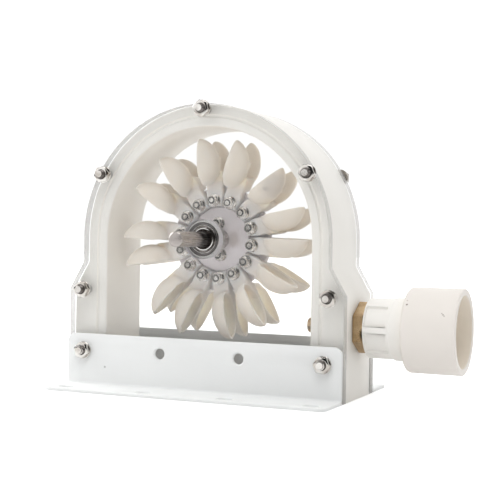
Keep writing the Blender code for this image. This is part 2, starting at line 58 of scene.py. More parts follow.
MM = 0.001
WELD = 1e-6
FULL_TURN = 2 * math.pi
BODY_LOW, BODY_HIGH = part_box("housing_body")
PLACE = Vector(((BODY_LOW.x + BODY_HIGH.x) / 2, (BODY_LOW.y + BODY_HIGH.y) / 2, 0))


def length(name, description, millimetres):
    return FloatProperty(name=name, description=description, default=millimetres * MM, unit="LENGTH",
                         precision=4)


def tint(name, description, colour):
    return FloatVectorProperty(name=name, description=description, default=colour, subtype="COLOR",
                               size=3, min=0, max=1)


class HousingSizes(bpy.types.PropertyGroup):
    base_half: length("Base half width", "Half the width of the housing below the flare", 100.5)
    arch_radius: length("Arch radius", "Outer radius of the arch", 90)
    opening_radius: length("Opening radius", "Radius of the opening for the wheel", 75.5)
    axis_height: length("Axis height", "Height of the wheel's axis above the floor", 103)
    flare_top: length("Flare top", "Height where the sides begin to flare out", 86)
    flare_bottom: length("Flare bottom", "Height where the flare ends", 68)
    body_half: length("Body half depth", "Half the depth of the white body", 24.4)
    panel_inner: length("Panel inner face", "Depth of the clear panels' inner faces", 24.7)
    panel_outer: length("Panel outer face", "Depth of the clear panels' outer faces", 31.3)
    groove_radius: length("Seal groove", "Middle radius of the seal groove round the opening", 82.3)


class BracketSizes(bpy.types.PropertyGroup):
    half: length("Half length", "Half the length of an angle bracket", 100.5)
    thick: length("Thickness", "Sheet thickness", 2)
    height: length("Leg height", "Height of the upright leg", 36.3)
    reach: length("Reach", "Depth of the flange's edge from the middle plane", 65)
    corner: length("Corner radius", "Radius of the rounded corners", 5)
    bend: length("Bend radius", "Outer radius of the bend", 3.5)
    leg_hole_x: length("Leg hole place", "Distance of the plain leg holes from the middle", 29)
    leg_hole_z: length("Leg hole height", "Height of the plain leg holes", 25.2)
    leg_hole_radius: length("Leg hole radius", "Radius of the plain leg holes", 3.6)
    slot_y: length("Slot depth", "Depth of the slots' middles from the middle plane", 55)


class FastenerSizes(bpy.types.PropertyGroup):
    tie_thread: length("Tie bolt thread", "Outer radius of the tie bolts' thread", 3)
    tie_flats: length("Tie nut flats", "Width across the flats of the tie bolts' nuts and heads", 10)
    tie_nut: length("Tie nut height", "Height of the tie bolts' nuts", 3)
    tie_head: length("Tie head height", "Height of the tie bolts' heads", 4)
    washer_radius: length("Washer radius", "Outer radius of the washers", 5.75)
    washer_thick: length("Washer thickness", "Thickness of the washers", 1)
    tie_proud: length("Tie bolt end", "How far a tie bolt's end stands in front of what it holds", 7)
    wheel_thread: length("Wheel bolt thread", "Outer radius of the wheel bolts' thread", 2)
    wheel_flats: length("Wheel nut flats", "Width across the flats of the wheel bolts' nuts", 7)
    wheel_nut: length("Wheel nut height", "Height of the wheel bolts' nuts with their collar", 4.6)
    wheel_washer: length("Wheel washer radius", "Outer radius of the wheel bolts' washers", 4.4)


class WheelSizes(bpy.types.PropertyGroup):
    shaft_radius: length("Shaft radius", "Radius of the shaft", 5)
    shaft_front: length("Shaft front end", "Depth of the shaft's front end", -68.7)
    shaft_rear: length("Shaft rear end", "Depth of the shaft's rear end", 36)
    bearing_radius: length("Bearing radius", "Outer radius of the bearings", 13)
    bearing_split: length("Bearing split", "Radius where the turning part of a bearing begins", 7.9)
    bearing_front: length("Bearing face", "Depth of the bearings' outer faces", 28.5)
    bearing_back: length("Bearing back", "Depth of the bearings' inner faces", 20.5)
    disc_radius: length("Disc radius", "Outer radius of the disc that carries the buckets", 36)
    disc_step: length("Disc step radius", "Radius of the raised middle of the disc", 21.8)
    disc_front: length("Disc front", "Depth of the raised middle's face", -1.5)
    plate_front: length("Plate front", "Depth of the disc's outer plate face", 1.5)
    disc_rear: length("Disc rear", "Depth of the disc's rear face", 5.5)
    bolt_circle: length("Bolt circle", "Radius of the circle of bucket bolts", 26.6)
    buckets: IntProperty(name="Buckets", description="Number of buckets", default=14, min=3)


class BucketSizes(bpy.types.PropertyGroup):
    start: length("Bowl start", "Radius where the bowls begin", 36.4)
    tip: length("Bowl tip", "Radius of the bowls' tips", 69)
    depth: length("Bowl depth", "Depth of a bowl behind its rim", 13)
    half_width: length("Bowl half width", "Half the width of one bowl", 9.5)
    middle: length("Bowl middle", "Distance of a bowl's middle from the wheel's middle plane", 9.8)
    splay: length("Splay", "How far the tips lean apart", 2.4)
    wall: length("Wall", "Thickness of the bowls", 1.5)
    rim: length("Rim offset", "Place of the bowls' rim beside the bolt", -6.2)
    stem_front: length("Stem face", "Depth of the stem's front face", -6.5)


class InletSizes(bpy.types.PropertyGroup):
    height: length("Inlet height", "Height of the inlet's axis above the floor", 47)
    tip_x: length("Nozzle tip", "Where the nozzle's tip ends", 66)
    thread: length("Pipe thread", "Outer radius of the brass pipe thread", 13.2)
    hex_flats: length("Hex flats", "Width across the flats of the brass hex", 29)
    hex_end: length("Hex end", "Where the brass hex ends", 108.2)
    adapter_radius: length("Adapter radius", "Radius over the adapter's ribs", 19.6)
    pocket_depth: length("Pocket depth", "Depth of the pockets between the adapter's ribs", 2)
    pocket_end: length("Pocket end", "Where the adapter's pockets end", 124)
    neck_radius: length("Neck radius", "Radius of the adapter's plain neck", 20.4)
    socket_start: length("Socket start", "Where the wide socket begins", 135.1)
    socket_end: length("Socket end", "Where the wide socket's mouth is", 170.3)
    socket_radius: length("Socket radius", "Outer radius of the socket", 27.5)
    socket_bore: length("Socket bore", "Inner radius of the socket", 23.2)


class FinishColours(bpy.types.PropertyGroup):
    body: tint("Body", "White plastic of the body", (0.89, 0.87, 0.825))
    coat: tint("Powder coat", "Cool white coat of the brackets", (0.87, 0.88, 0.875))
    bucket: tint("Bucket resin", "Warm white resin of the buckets", (0.76, 0.705, 0.64))
    hub: tint("Hub resin", "Lilac white of the disc", (0.84, 0.79, 0.81))
    steel: tint("Steel", "Zinc-plated steel of nuts and bolts", (0.72, 0.70, 0.67))
    brass: tint("Brass", "Brass of the nozzle", (0.56, 0.41, 0.25))
    pipe: tint("Pipe white", "White plastic of the adapter", (0.92, 0.90, 0.86))
    socket: tint("Socket white", "Creamy white plastic of the socket", (0.85, 0.805, 0.755))


SIZE_GROUPS = {
    "turbine_housing": HousingSizes,
    "turbine_bracket": BracketSizes,
    "turbine_fastener": FastenerSizes,
    "turbine_wheel": WheelSizes,
    "turbine_bucket": BucketSizes,
    "turbine_inlet": InletSizes,
    "turbine_colours": FinishColours,
}

# Places of the tie bolts, as (name, x, z), seen from the front
TIE_BOLTS = (
    ("top", 0, 189.6 * MM),
    ("upper_left", -75 * MM, 146.3 * MM),
    ("upper_right", 75 * MM, 146.3 * MM),
    ("mid_left", -90.3 * MM, 66.8 * MM),
    ("mid_right", 90.3 * MM, 66.8 * MM),
    ("lower_left", -88 * MM, 24.9 * MM),
    ("lower_right", 88 * MM, 24.9 * MM),
)
# How far each tie nut is turned, in degrees
TIE_NUT_TURNS = (12, 40, 21, 30, 0, 15, 24)
# Places of the flange slots along a bracket
SLOT_PLACES = (-88 * MM, -29.5 * MM, 29.5 * MM, 88 * MM)
# Angle of the wheel's first bolt, counted clockwise from the left; the buckets follow it
FIRST_BOLT_ANGLE = math.radians(94.35)
# How far each bucket leans on its bolt and each nut on the wheel is turned, in degrees
BUCKET_LEANS = (0, 4, -6.5, -5.5, 6, 4.5, -0.5, 5.5, -5, 4, -9, 5.5, -2, 3.5)
WHEEL_NUT_TURNS = (8, 41, 17, 52, 25, 3, 36, 14, 48, 29, 55, 11, 33, 20)
HUB_NUT_TURNS = (10, 27)

# Softboxes, as (name, azimuth from the front to the right, elevation, distance, width, height, watts)
LIGHTS = (
    ("front_left_light", -40, 24, 1.8, 1.5, 1.5, 8.8),
    ("front_top_light", 5, 58, 1.8, 1.2, 1.0, 11.6),
    ("front_right_light", 45, 30, 1.8, 1.1, 1.1, 3.2),
    ("left_light", -95, 22, 1.8, 1.1, 1.1, 23.8),
    ("right_light", 75, 22, 1.8, 1.1, 1.1, 2.6),
    ("top_light", 0, 88, 1.7, 1.4, 1.4, 5.3),
    ("back_light", 180, 40, 1.8, 1.4, 1.2, 1.5),
)
AIM = Vector((0, 0, 90 * MM))
# The photograph's camera: its place, its turns about Z, X and Z in degrees, and its lens
CAMERA_PLACE = (0.296787, -0.714189, 0.109771)
CAMERA_TURNS = (23.387, 88.985, 0.846)
CAMERA_LENS = 82.495
# Strength of the world as the camera sees it, and of its light from behind
WORLD_SEEN, WORLD_BEHIND = 1.1, 0.95
WHITE = (1, 1, 1, 1)

# Start of the names of this script's materials, which keeps them apart from the solid model's
FINISH = "finish_"
# Marks on a finish, real ones together with painted shadow, shade and reflection, as (middle in mm, radius
# in mm, colour, strength, squeeze along each axis)
MARKS_AND_PAINTED_SHADE = {
    "white_coat": (((-70.9, -33.6, 14), 1.1, (0.35, 0.35, 0.34), 0.7, (1, 1, 1)),),
    # Painted dark reflection and painted shade on the shaft next to the front bearing
    "shaft_steel": (((0, -31, 103), 15, (0.06, 0.056, 0.052), 0.85, (1, 1, 1)),),
    # Painted shadow of the bearing and spacer on the disc, to the right of the middle
    "hub_resin": (((10, -1.5, 103), 8, (0.36, 0.28, 0.24), 0.5, (1.2, 0.3, 1)),),
    "bucket_resin": (
        ((45.6, -14, 139.8), 13, (0.46, 0.44, 0.425), 0.6, (1, 0.5, 1)),
        ((40, -14, 137), 3.5, (0.36, 0.34, 0.33), 0.5, (1, 0.3, 1.5)),
        ((36, -14, 132), 0.8, (0.3, 0.28, 0.27), 0.8, (1, 0.3, 1)),
        ((28.5, -12, 131), 1.2, (0.25, 0.22, 0.20), 0.8, (1, 0.3, 1)),
        # Painted shadow of the splitter's edge inside a lower right bucket
        ((26.5, -8, 64), 2.6, (0.16, 0.10, 0.07), 0.9, (0.7, 0.3, 1.8)),
    ),
    "brass": (((107.2, -14.5, 43.5), 3, (0.02, 0.015, 0.01), 0.95, (1.4, 0.5, 0.6)),),
    "pipe_cream": (
        ((138.4, -21.2, 64.5), 0.9, (0.12, 0.06, 0.04), 0.9, (1, 1, 1)),
        ((138.1, -19, 66.9), 0.6, (0.4, 0.3, 0.25), 0.7, (1, 1, 1)),
        ((161.4, -24.2, 60.1), 0.6, (0.35, 0.30, 0.27), 0.7, (1, 1, 1)),
        ((162.2, -24.5, 59.3), 0.7, (0.3, 0.25, 0.22), 0.8, (1, 1, 1)),
        ((163.0, -24.9, 58.5), 0.7, (0.35, 0.30, 0.27), 0.7, (1, 1, 1)),
    ),
}


# Shapes

def rotate(work, degrees, axis):
    """Turns a shape about an axis through the origin."""
    bmesh.ops.rotate(work, verts=work.verts, cent=(0, 0, 0),
                     matrix=Matrix.Rotation(math.radians(degrees), 3, axis))
    return work


def lay_along_y(work):
    """Turns a lathed shape so that its height runs to the back."""
    return rotate(work, -90, "X")


def lay_along_x(work):
    """Turns a lathed shape so that its height runs to the right."""
    return rotate(work, 90, "Y")


def move(work, x=0, y=0, z=0):
    bmesh.ops.translate(work, verts=work.verts, vec=(x, y, z))
    return work


def turned(profile, closed=True, steps=64):
    """A (radius, height) profile turned about Z."""
    work = bmesh.new()
    verts = [work.verts.new((radius, 0, height)) for radius, height in profile]
    pairs = list(zip(verts, verts[1:]))
    if closed:
        pairs.append((verts[-1], verts[0]))
    edges = [work.edges.new(pair) for pair in pairs]
    bmesh.ops.spin(work, geom=verts + edges, cent=(0, 0, 0), axis=(0, 0, 1), angle=FULL_TURN, steps=steps,
                   use_merge=True)
    bmesh.ops.remove_doubles(work, verts=work.verts, dist=WELD)
    bmesh.ops.recalc_face_normals(work, faces=work.faces)
    return work


def rod(radius, start, end, chamfer=0, steps=48):
    """A round bar from start to end along Z with chamfered ends."""
    profile = [(0, start), (radius - chamfer, start), (radius, start + chamfer),
               (radius, end - chamfer), (radius - chamfer, end), (0, end)]
    return turned(profile, closed=False, steps=steps)


def block(low, high):
    work = bmesh.new()
    middle = (Vector(low) + Vector(high)) / 2
    size = Vector(high) - Vector(low)
    bmesh.ops.create_cube(work, size=1, matrix=Matrix.Translation(middle) @ Matrix.Diagonal(size.to_4d()))
    return work


def round_corner(centre, radius, start, end, steps):
    """Points of an arc, in degrees, for a section."""
    angles = [math.radians(start + (end - start) * step / steps) for step in range(steps + 1)]
    return [(centre[0] + radius * math.cos(a), centre[1] + radius * math.sin(a)) for a in angles]


def loop(work, points):
    """A closed ring of edges through points."""
    verts = [work.verts.new(point) for point in points]
    return [work.edges.new(pair) for pair in zip(verts, verts[1:] + verts[:1])]


def pull(work, edges, vec):
    """Extrudes a ring of edges and moves the new ring, which it gives back."""
    made = bmesh.ops.extrude_edge_only(work, edges=edges)["geom"]
    verts = {item for item in made if isinstance(item, bmesh.types.BMVert)}
    bmesh.ops.translate(work, verts=list(verts), vec=vec)
    return [item for item in made if isinstance(item, bmesh.types.BMEdge) and set(item.verts) <= verts]


def close(work):
    """Caps open rings and turns every face outward."""
    bmesh.ops.holes_fill(work, edges=[edge for edge in work.edges if edge.is_boundary], sides=0)
    bmesh.ops.recalc_face_normals(work, faces=work.faces)
    return work


def bar(section, vec):
    """A closed section of points pulled along a vector and capped."""
    work = bmesh.new()
    pull(work, loop(work, section), vec)
    return close(work)


def paint(work, choose):
    """Gives each face the material number that choose(middle, normal) says."""
    for face in work.faces:
        face.material_index = int(choose(face.calc_center_median(), face.normal))


def to_object(name, work):
    mesh = bpy.data.meshes.new(name)
    work.to_mesh(mesh)
    work.free()
    obj = bpy.data.objects.new(name, mesh)
    bpy.context.scene.collection.objects.link(obj)
    return obj


def discard(obj):
    mesh = obj.data
    bpy.data.objects.remove(obj, do_unlink=True)
    bpy.data.meshes.remove(mesh)


def applied(obj):
    """The object's shape with its modifiers, as a bmesh; the object goes."""
    bpy.context.view_layer.update()
    work = bmesh.new()
    work.from_object(obj, bpy.context.evaluated_depsgraph_get())
    discard(obj)
    return work


def carve(work, cutter, operation="DIFFERENCE", use_self=False):
    """One shape cut by or limited to another."""
    obj = to_object("carved", work)
    tool = to_object("tool", cutter)
    boolean = obj.modifiers.new("carve", "BOOLEAN")
    boolean.operation = operation
    boolean.object = tool
    boolean.solver = "EXACT"
    boolean.use_self = use_self
    result = applied(obj)
    discard(tool)
    return result


def gathered(works):
    """Several shapes in one, each kept whole."""
    result = bmesh.new()
    for work in works:
        mesh = bpy.data.meshes.new("gathered")
        work.to_mesh(mesh)
        work.free()
        result.from_mesh(mesh)
        bpy.data.meshes.remove(mesh)
    return result


def softened(work, width, segments=2, angle=40):
    """A shape with its sharp edges rounded a little."""
    obj = to_object("softened", work)
    bevel = obj.modifiers.new("edges", "BEVEL")
    bevel.width = width
    bevel.segments = segments
    bevel.limit_method = "ANGLE"
    bevel.angle_limit = math.radians(angle)
    bevel.use_clamp_overlap = True
    return applied(obj)


def finish(name, work, body, materials, replaced=(), smooth=32):
    """Puts a shape in place as a piece that rides on a body."""
    bmesh.ops.triangulate(work, faces=[face for face in work.faces if len(face.verts) > 4])
    bmesh.ops.translate(work, verts=work.verts, vec=PLACE)
    piece = to_object(name, work)
    for material in materials:
        piece.data.materials.append(bpy.data.materials[FINISH + material])
    piece.data.shade_smooth()
    piece.data.set_sharp_from_angle(angle=math.radians(smooth))
    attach(piece, body)
    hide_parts(*replaced)


def tie_bolt_holes(radius, steps=48):
    """Cutters for the tie bolts' holes."""
    reach = 40 * MM
    return [move(lay_along_y(rod(radius, -reach, reach, steps=steps)), x, 0, z) for _, x, z in TIE_BOLTS]


def hex_solid(flats, height, chamfer_both=True, bore=0):
    """A nut or bolt head standing on zero, its corners turned off at 30 degrees."""
    past_corner = flats / math.sqrt(3) * 1.05
    face = flats / 2 * 0.97
    drop = (past_corner - face) * math.tan(math.radians(30))
    low = [(0, 0), (face, 0), (past_corner, drop)] if chamfer_both else [(0, 0), (past_corner, 0)]
    limit = turned(low + [(past_corner, height - drop), (face, height), (0, height)], closed=False)
    corner = flats / 2 / math.cos(math.pi / 6)
    # The bar stands out at both ends, because a cut whose faces share a plane can come back empty
    past_end = 1 * MM
    work = bmesh.new()
    bmesh.ops.create_cone(work, cap_ends=True, segments=6, radius1=corner, radius2=corner,
                          depth=height + 2 * past_end, matrix=Matrix.Translation((0, 0, height / 2)))
    work = carve(work, limit, "INTERSECT")
    if bore:
        lead = 0.12 * bore
        hole = turned([(0, -height), (bore + 3 * lead, -height), (bore + lead, 0), (bore, lead),
                       (bore, height - lead), (bore + lead, height), (bore + 3 * lead, 2 * height),
                       (0, 2 * height)], closed=False)
        work = carve(work, hole)
    return work


def hex_head(flats, height, top):
    """A bolt head that hangs down from `top`."""
    return move(rotate(hex_solid(flats, height, chamfer_both=False), 180, "X"), z=top)


def threaded(radius, start, end, pitch, depth, chamfer, steps=32):
    """A bar along Z whose top end carries ridges; the ridges are rings, one a pitch, with flanks painted
    dark as shade.
    """
    profile = [(0, start)]
    height = start
    while height < end - chamfer - pitch / 2:
        profile += [(radius - depth, height), (radius, height + 0.45 * pitch),
                    (radius, height + 0.55 * pitch)]
        height += pitch
    profile += [(radius - depth, end - chamfer), (radius - chamfer - 0.3 * depth, end), (0, end)]
    work = turned(profile, closed=False, steps=steps)
    # The flanks get the second material, painted shade
    paint(work, lambda middle, normal: abs(normal.z) < 0.95)
    return work


# Materials

def feed(tree, socket, value):
    """Links a socket to another one, or sets it to a value."""
    if isinstance(value, bpy.types.NodeSocket):
        tree.links.new(value, socket)
    else:
        socket.default_value = value


def feed_all(tree, sockets, values):
    for label, value in values.items():
        feed(tree, sockets[label], value)


def new_group(name, inputs, outputs):
    group = bpy.data.node_groups.new(name, "ShaderNodeTree")
    for label, kind, value in inputs:
        socket = group.interface.new_socket(name=label, in_out="INPUT", socket_type="NodeSocket" + kind)
        socket.default_value = value
    for label, kind in outputs:
        group.interface.new_socket(name=label, in_out="OUTPUT", socket_type="NodeSocket" + kind)
    return group, group.nodes.new("NodeGroupInput").outputs, group.nodes.new("NodeGroupOutput").inputs


def add_noise(tree, vector, scale, detail=3):
    noise = tree.nodes.new("ShaderNodeTexNoise")
    feed_all(tree, noise.inputs, {"Vector": vector, "Scale": scale, "Detail": detail, "Roughness": 0.55})
    return noise.outputs["Fac"]


def add_range(tree, value, low, high, to_low=0.0, to_high=1.0, kind="SMOOTHSTEP"):
    ranged = tree.nodes.new("ShaderNodeMapRange")
    ranged.interpolation_type = kind
    feed_all(tree, ranged.inputs, {"Value": value, "From Min": low, "From Max": high, "To Min": to_low,
                                   "To Max": to_high})
    return ranged.outputs["Result"]


def add_math(tree, operation, *values, vector=False):
    node = tree.nodes.new("ShaderNodeVectorMath" if vector else "ShaderNodeMath")
    node.operation = operation
    for socket, value in zip(node.inputs, values):
        feed(tree, socket, value)
    return node.outputs["Vector" if vector and operation != "LENGTH" else "Value"]


def add_mix(tree, factor, first, second):
    mix = tree.nodes.new("ShaderNodeMix")
    mix.data_type = "RGBA"
    for label, value in (("Factor", factor), ("A", first), ("B", second)):
        feed(tree, next(s for s in mix.inputs if s.name == label and s.enabled), value)
    return next(s for s in mix.outputs if s.enabled)


def uneven_group():
    """Soft patches of a second colour, fine grain and uneven gloss."""
    group, start, end = new_group("uneven_finish", (
        ("Vector", "Vector", (0, 0, 0)),
        ("Colour", "Color", (0.8, 0.8, 0.8, 1)),
        ("Patch Colour", "Color", (0.7, 0.7, 0.7, 1)),
        ("Patch Scale", "Float", 20),
        ("Grain Scale", "Float", 1500),
        ("Roughness Low", "Float", 0.35),
        ("Roughness High", "Float", 0.5),
    ), (("Colour", "Color"), ("Roughness", "Float"), ("Height", "Float")))
    blotch = add_range(group, add_noise(group, start["Vector"], start["Patch Scale"]), 0.35, 0.68)
    grain = add_noise(group, start["Vector"], start["Grain Scale"], 2)
    feed_all(group, end, {
        "Colour": add_mix(group, blotch, start["Colour"], start["Patch Colour"]),
        "Roughness": add_range(group, grain, 0.3, 0.7, start["Roughness Low"], start["Roughness High"]),
        "Height": grain})


def spot_group():
    """A soft-edged ragged patch of another colour round one point, used for real marks and for painted
    shadow, shade and reflection.
    """
    group, start, end = new_group("spot", (
        ("Vector", "Vector", (0, 0, 0)),
        ("Colour", "Color", (0.8, 0.8, 0.8, 1)),
        ("Mark Colour", "Color", (0.1, 0.1, 0.1, 1)),
        ("Centre", "Vector", (0, 0, 0)),
        ("Stretch", "Vector", (1, 1, 1)),
        ("Radius", "Float", 0.001),
        ("Strength", "Float", 0.8),
    ), (("Colour", "Color"),))
    away = add_math(group, "SUBTRACT", start["Vector"], start["Centre"], vector=True)
    away = add_math(group, "MULTIPLY", away, start["Stretch"], vector=True)
    away = add_math(group, "LENGTH", away, vector=True)
    ragged = add_math(group, "MULTIPLY_ADD", add_noise(group, start["Vector"], 900), 0.9, 0.55)
    edge = add_math(group, "MULTIPLY", start["Radius"], ragged)
    inside = add_range(group, add_math(group, "DIVIDE", away, edge), 0.3, 1.0, 1.0, 0.0)
    factor = add_math(group, "MULTIPLY", inside, start["Strength"])
    feed(group, end["Colour"], add_mix(group, factor, start["Colour"], start["Mark Colour"]))


def use_group(tree, name, values):
    node = tree.nodes.new("ShaderNodeGroup")
    node.node_tree = bpy.data.node_groups[name]
    feed_all(tree, node.inputs, values)
    return node.outputs


def rgba(colour):
    return (*colour, 1)


def make_material(name, colour, patch, rough, bump, patch_scale=18, grain_scale=1500, stretch=(1, 1, 1),
                  metallic=0.0, subsurface=0.0, ior=1.46):
    """A finish with patches, grain, uneven gloss and its marks, painted shadow, shade and reflection among
    them. The patches' colour may also be given as a share of the first colour."""
    if isinstance(patch, float):
        patch = [channel * patch for channel in colour]
    material = bpy.data.materials.new(FINISH + name)
    material.use_nodes = True
    tree = material.node_tree
    place = tree.nodes.new("ShaderNodeTexCoord").outputs["Object"]
    mapping = tree.nodes.new("ShaderNodeMapping")
    feed_all(tree, mapping.inputs, {"Vector": place, "Scale": stretch})
    uneven = use_group(tree, "uneven_finish", {
        "Vector": mapping.outputs["Vector"], "Colour": rgba(colour), "Patch Colour": rgba(patch),
        "Patch Scale": patch_scale, "Grain Scale": grain_scale, "Roughness Low": rough[0],
        "Roughness High": rough[1]})
    shade = uneven["Colour"]
    for centre, radius, mark, strength, squeeze in MARKS_AND_PAINTED_SHADE.get(name, ()):
        shade = use_group(tree, "spot", {
            "Vector": place, "Colour": shade, "Mark Colour": rgba(mark), "Stretch": squeeze,
            "Centre": Vector(centre) * MM + PLACE, "Radius": radius * MM, "Strength": strength})["Colour"]
    height = tree.nodes.new("ShaderNodeBump")
    feed_all(tree, height.inputs, {"Strength": bump, "Distance": 0.2 * MM, "Height": uneven["Height"]})
    feed_all(tree, tree.nodes["Principled BSDF"].inputs, {
        "Base Color": shade, "Roughness": uneven["Roughness"], "Normal": height.outputs["Normal"],
        "Metallic": metallic, "IOR": ior, "Subsurface Weight": subsurface, "Subsurface Scale": 4 * MM,
        "Subsurface Radius": (1, 0.92, 0.84)})
    return material


def clear_material(name, colour, low, high, rough):
    """Clear plastic: seen straight on it is `low` opaque, seen along its surface it is `high`."""
    tree = make_material(name, colour, 0.97, rough, 0.02).node_tree
    facing = tree.nodes.new("ShaderNodeLayerWeight")
    feed(tree, facing.inputs["Blend"], 0.3)
    opaque = add_range(tree, facing.outputs["Facing"], 0.0, 1.0, low, high, "LINEAR")
    feed(tree, tree.nodes["Principled BSDF"].inputs["Alpha"], opaque)


def add_attribute(tree, name):
    node = tree.nodes.new("ShaderNodeAttribute")
    node.attribute_name = name
    return node.outputs["Fac"]


def paint_hollow_glow(material):
    """Paints the hollows a brighter, blotchy tan as painted bounce light by the mesh's "inside" attribute,
    and makes the resin paler by its "root" one.
    """
    tree = material.node_tree
    colour = tree.nodes["Principled BSDF"].inputs["Base Color"]
    plain = colour.links[0].from_socket
    blotch = add_noise(tree, tree.nodes.new("ShaderNodeTexCoord").outputs["Object"], 90)
    # Painted bounce light: a bright warm tan for the hollows
    tan = add_mix(tree, add_range(tree, blotch, 0.35, 0.65), rgba((0.98, 0.905, 0.78)),
                  rgba((0.95, 0.85, 0.71)))
    pale = add_mix(tree, add_attribute(tree, "root"), plain, rgba((0.84, 0.815, 0.795)))
    feed(tree, colour, add_mix(tree, add_attribute(tree, "inside"), pale, tan))


def make_materials():
    uneven_group()
    spot_group()
    colours = bpy.context.scene.turbine_colours
    make_material("body_plastic", colours.body, 0.96, (0.38, 0.5), 0.08)
    # A brighter, warmer copy of the body plastic for the faces round the opening: painted bounce light
    make_material("inner_wall_painted_bounce", (0.985, 0.945, 0.875), (0.95, 0.91, 0.84), (0.38, 0.5), 0.08)
    make_material("white_coat", colours.coat, 0.97, (0.35, 0.5), 0.25, grain_scale=900)
    make_material("hub_resin", colours.hub, (0.78, 0.72, 0.73), (0.4, 0.55), 0.1, 60)
    paint_hollow_glow(make_material("bucket_resin", colours.bucket, (0.735, 0.675, 0.61), (0.36, 0.5), 0.1, 70,
                                subsurface=1.0))
    make_material("pipe_white", colours.pipe, 0.97, (0.34, 0.46), 0.08, ior=1.3)
    make_material("pipe_cream", colours.socket, 0.97, (0.34, 0.46), 0.08, ior=1.3)
    # A brighter, warmer copy of the socket plastic for the bore: painted bounce light
    make_material("pipe_bore_painted_bounce", (0.94, 0.88, 0.79), (0.92, 0.85, 0.75), (0.4, 0.5), 0.08, ior=1.3)
    make_material("shaft_steel", (0.465, 0.43, 0.41), (0.41, 0.375, 0.355), (0.2, 0.34), 0.05, 800, 3000,
                  stretch=(1, 0.02, 1), metallic=1.0)
    for name, colour, patch, rough, bump, patch_scale, grain_scale in (
        ("bolt_steel", colours.steel, (0.50, 0.46, 0.42), (0.08, 0.18), 0.05, 160, 2500),
        # Dark steel as painted shade in threads, bearing grooves and the nuts' collars
        ("painted_shade_steel", (0.22, 0.20, 0.19), (0.10, 0.09, 0.08), (0.15, 0.3), 0.05, 160, 2500),
        ("bearing_steel", (0.70, 0.69, 0.67), (0.60, 0.59, 0.57), (0.12, 0.2), 0.012, 90, 1500),
        ("shield_steel", (0.22, 0.21, 0.21), (0.16, 0.15, 0.15), (0.35, 0.5), 0.1, 120, 1500),
        ("brass", colours.brass, (0.42, 0.29, 0.16), (0.22, 0.38), 0.12, 120, 1500),
    ):
        make_material(name, colour, patch, rough, bump, patch_scale, grain_scale, metallic=1.0)
    clear_material("clear_face", (0.93, 0.94, 0.93), 0.04, 0.25, (0.06, 0.1))
    clear_material("clear_edge", (0.60, 0.585, 0.56), 0.6, 0.85, (0.25, 0.35))
    clear_material("frosted_edge", (0.66, 0.64, 0.67), 0.8, 0.95, (0.5, 0.6))


# Pieces

class TURBINE_OT_materials(bpy.types.Operator):
    """Make the finishes of every piece"""
    bl_idname = "turbine.materials"
    bl_label = "Finishes"

    def execute(self, context):
        make_materials()
        return {"FINISHED"}


class TURBINE_OT_body(bpy.types.Operator):
    """Build the white arched body"""
    bl_idname = "turbine.body"
    bl_label = "Housing Body"

    def section(self, sizes):
        """The band's section: outer edges, seal grooves and rounded inner edges."""
        corner, soft = 0.7 * MM, 1.5 * MM
        groove_half, groove_depth = 1.2 * MM, 0.9 * MM
        outer, front = sizes.base_half, -sizes.body_half
        half = [(outer, 0), (outer, front + corner), (outer - 0.3 * corner, front + 0.3 * corner),
                (outer - corner, front)]
        half += [(sizes.groove_radius + aside * groove_half, front + deep * groove_depth)
                 for aside, deep in ((1, 0), (0.6, 0.7), (0, 1), (-0.6, 0.7), (-1, 0))]
        half += [(sizes.opening_radius + x, front + y)
                 for x, y in round_corner((soft, soft), soft, 270, 180, 4)]
        return half + [(x, -y) for x, y in reversed(half[1:])]

    def execute(self, context):
        sizes = context.scene.turbine_housing
        inlet = context.scene.turbine_inlet
        middle_x = (sizes.base_half + sizes.groove_radius) / 2
        work = bmesh.new()

        def slide_outer(edges):
            far = sizes.groove_radius + 2 * MM
            moved = {vert for edge in edges for vert in edge.verts if abs(vert.co.x) > far}
            bmesh.ops.translate(work, verts=list(moved), vec=(sizes.arch_radius - sizes.base_half, 0, 0))

        ring = loop(work, [(x, y, 0) for x, y in self.section(sizes)])
        ring = pull(work, ring, (0, 0, sizes.flare_bottom))
        ring = pull(work, ring, (0, 0, sizes.flare_top - sizes.flare_bottom))
        slide_outer(ring)
        ring = pull(work, ring, (0, 0, sizes.axis_height - sizes.flare_top))
        start = list({vert for edge in ring for vert in edge.verts})
        made = bmesh.ops.spin(work, geom=start + ring, cent=(0, 0, sizes.axis_height), axis=(0, -1, 0),
                              angle=math.pi, steps=72)["geom_last"]
        ring = [item for item in made if isinstance(item, bmesh.types.BMEdge)]
        ring = pull(work, ring, (0, 0, sizes.flare_top - sizes.axis_height))
        ring = pull(work, ring, (0, 0, sizes.flare_bottom - sizes.flare_top))
        slide_outer(ring)
        pull(work, ring, (0, 0, -sizes.flare_bottom))
        bmesh.ops.remove_doubles(work, verts=work.verts, dist=WELD)
        close(work)
        holes = tie_bolt_holes(context.scene.turbine_fastener.tie_thread + 0.1 * MM)
        holes.append(move(lay_along_x(rod(inlet.thread + 0.2 * MM, middle_x - 30 * MM, middle_x + 30 * MM)),
                          0, 0, inlet.height))
        work = carve(work, gathered(holes))
        work.normal_update()

        def faces_opening(middle, normal):
            toward = Vector((-middle.x, 0, sizes.axis_height - middle.z))
            return abs(normal.y) < 0.7 and normal.dot(toward) > 0

        # Faces round the opening get the brighter, warmer copy of the plastic as painted bounce light
        paint(work, faces_opening)
        finish("body", work, "housing", ["body_plastic", "inner_wall_painted_bounce"], ["housing_body"])
        return {"FINISHED"}


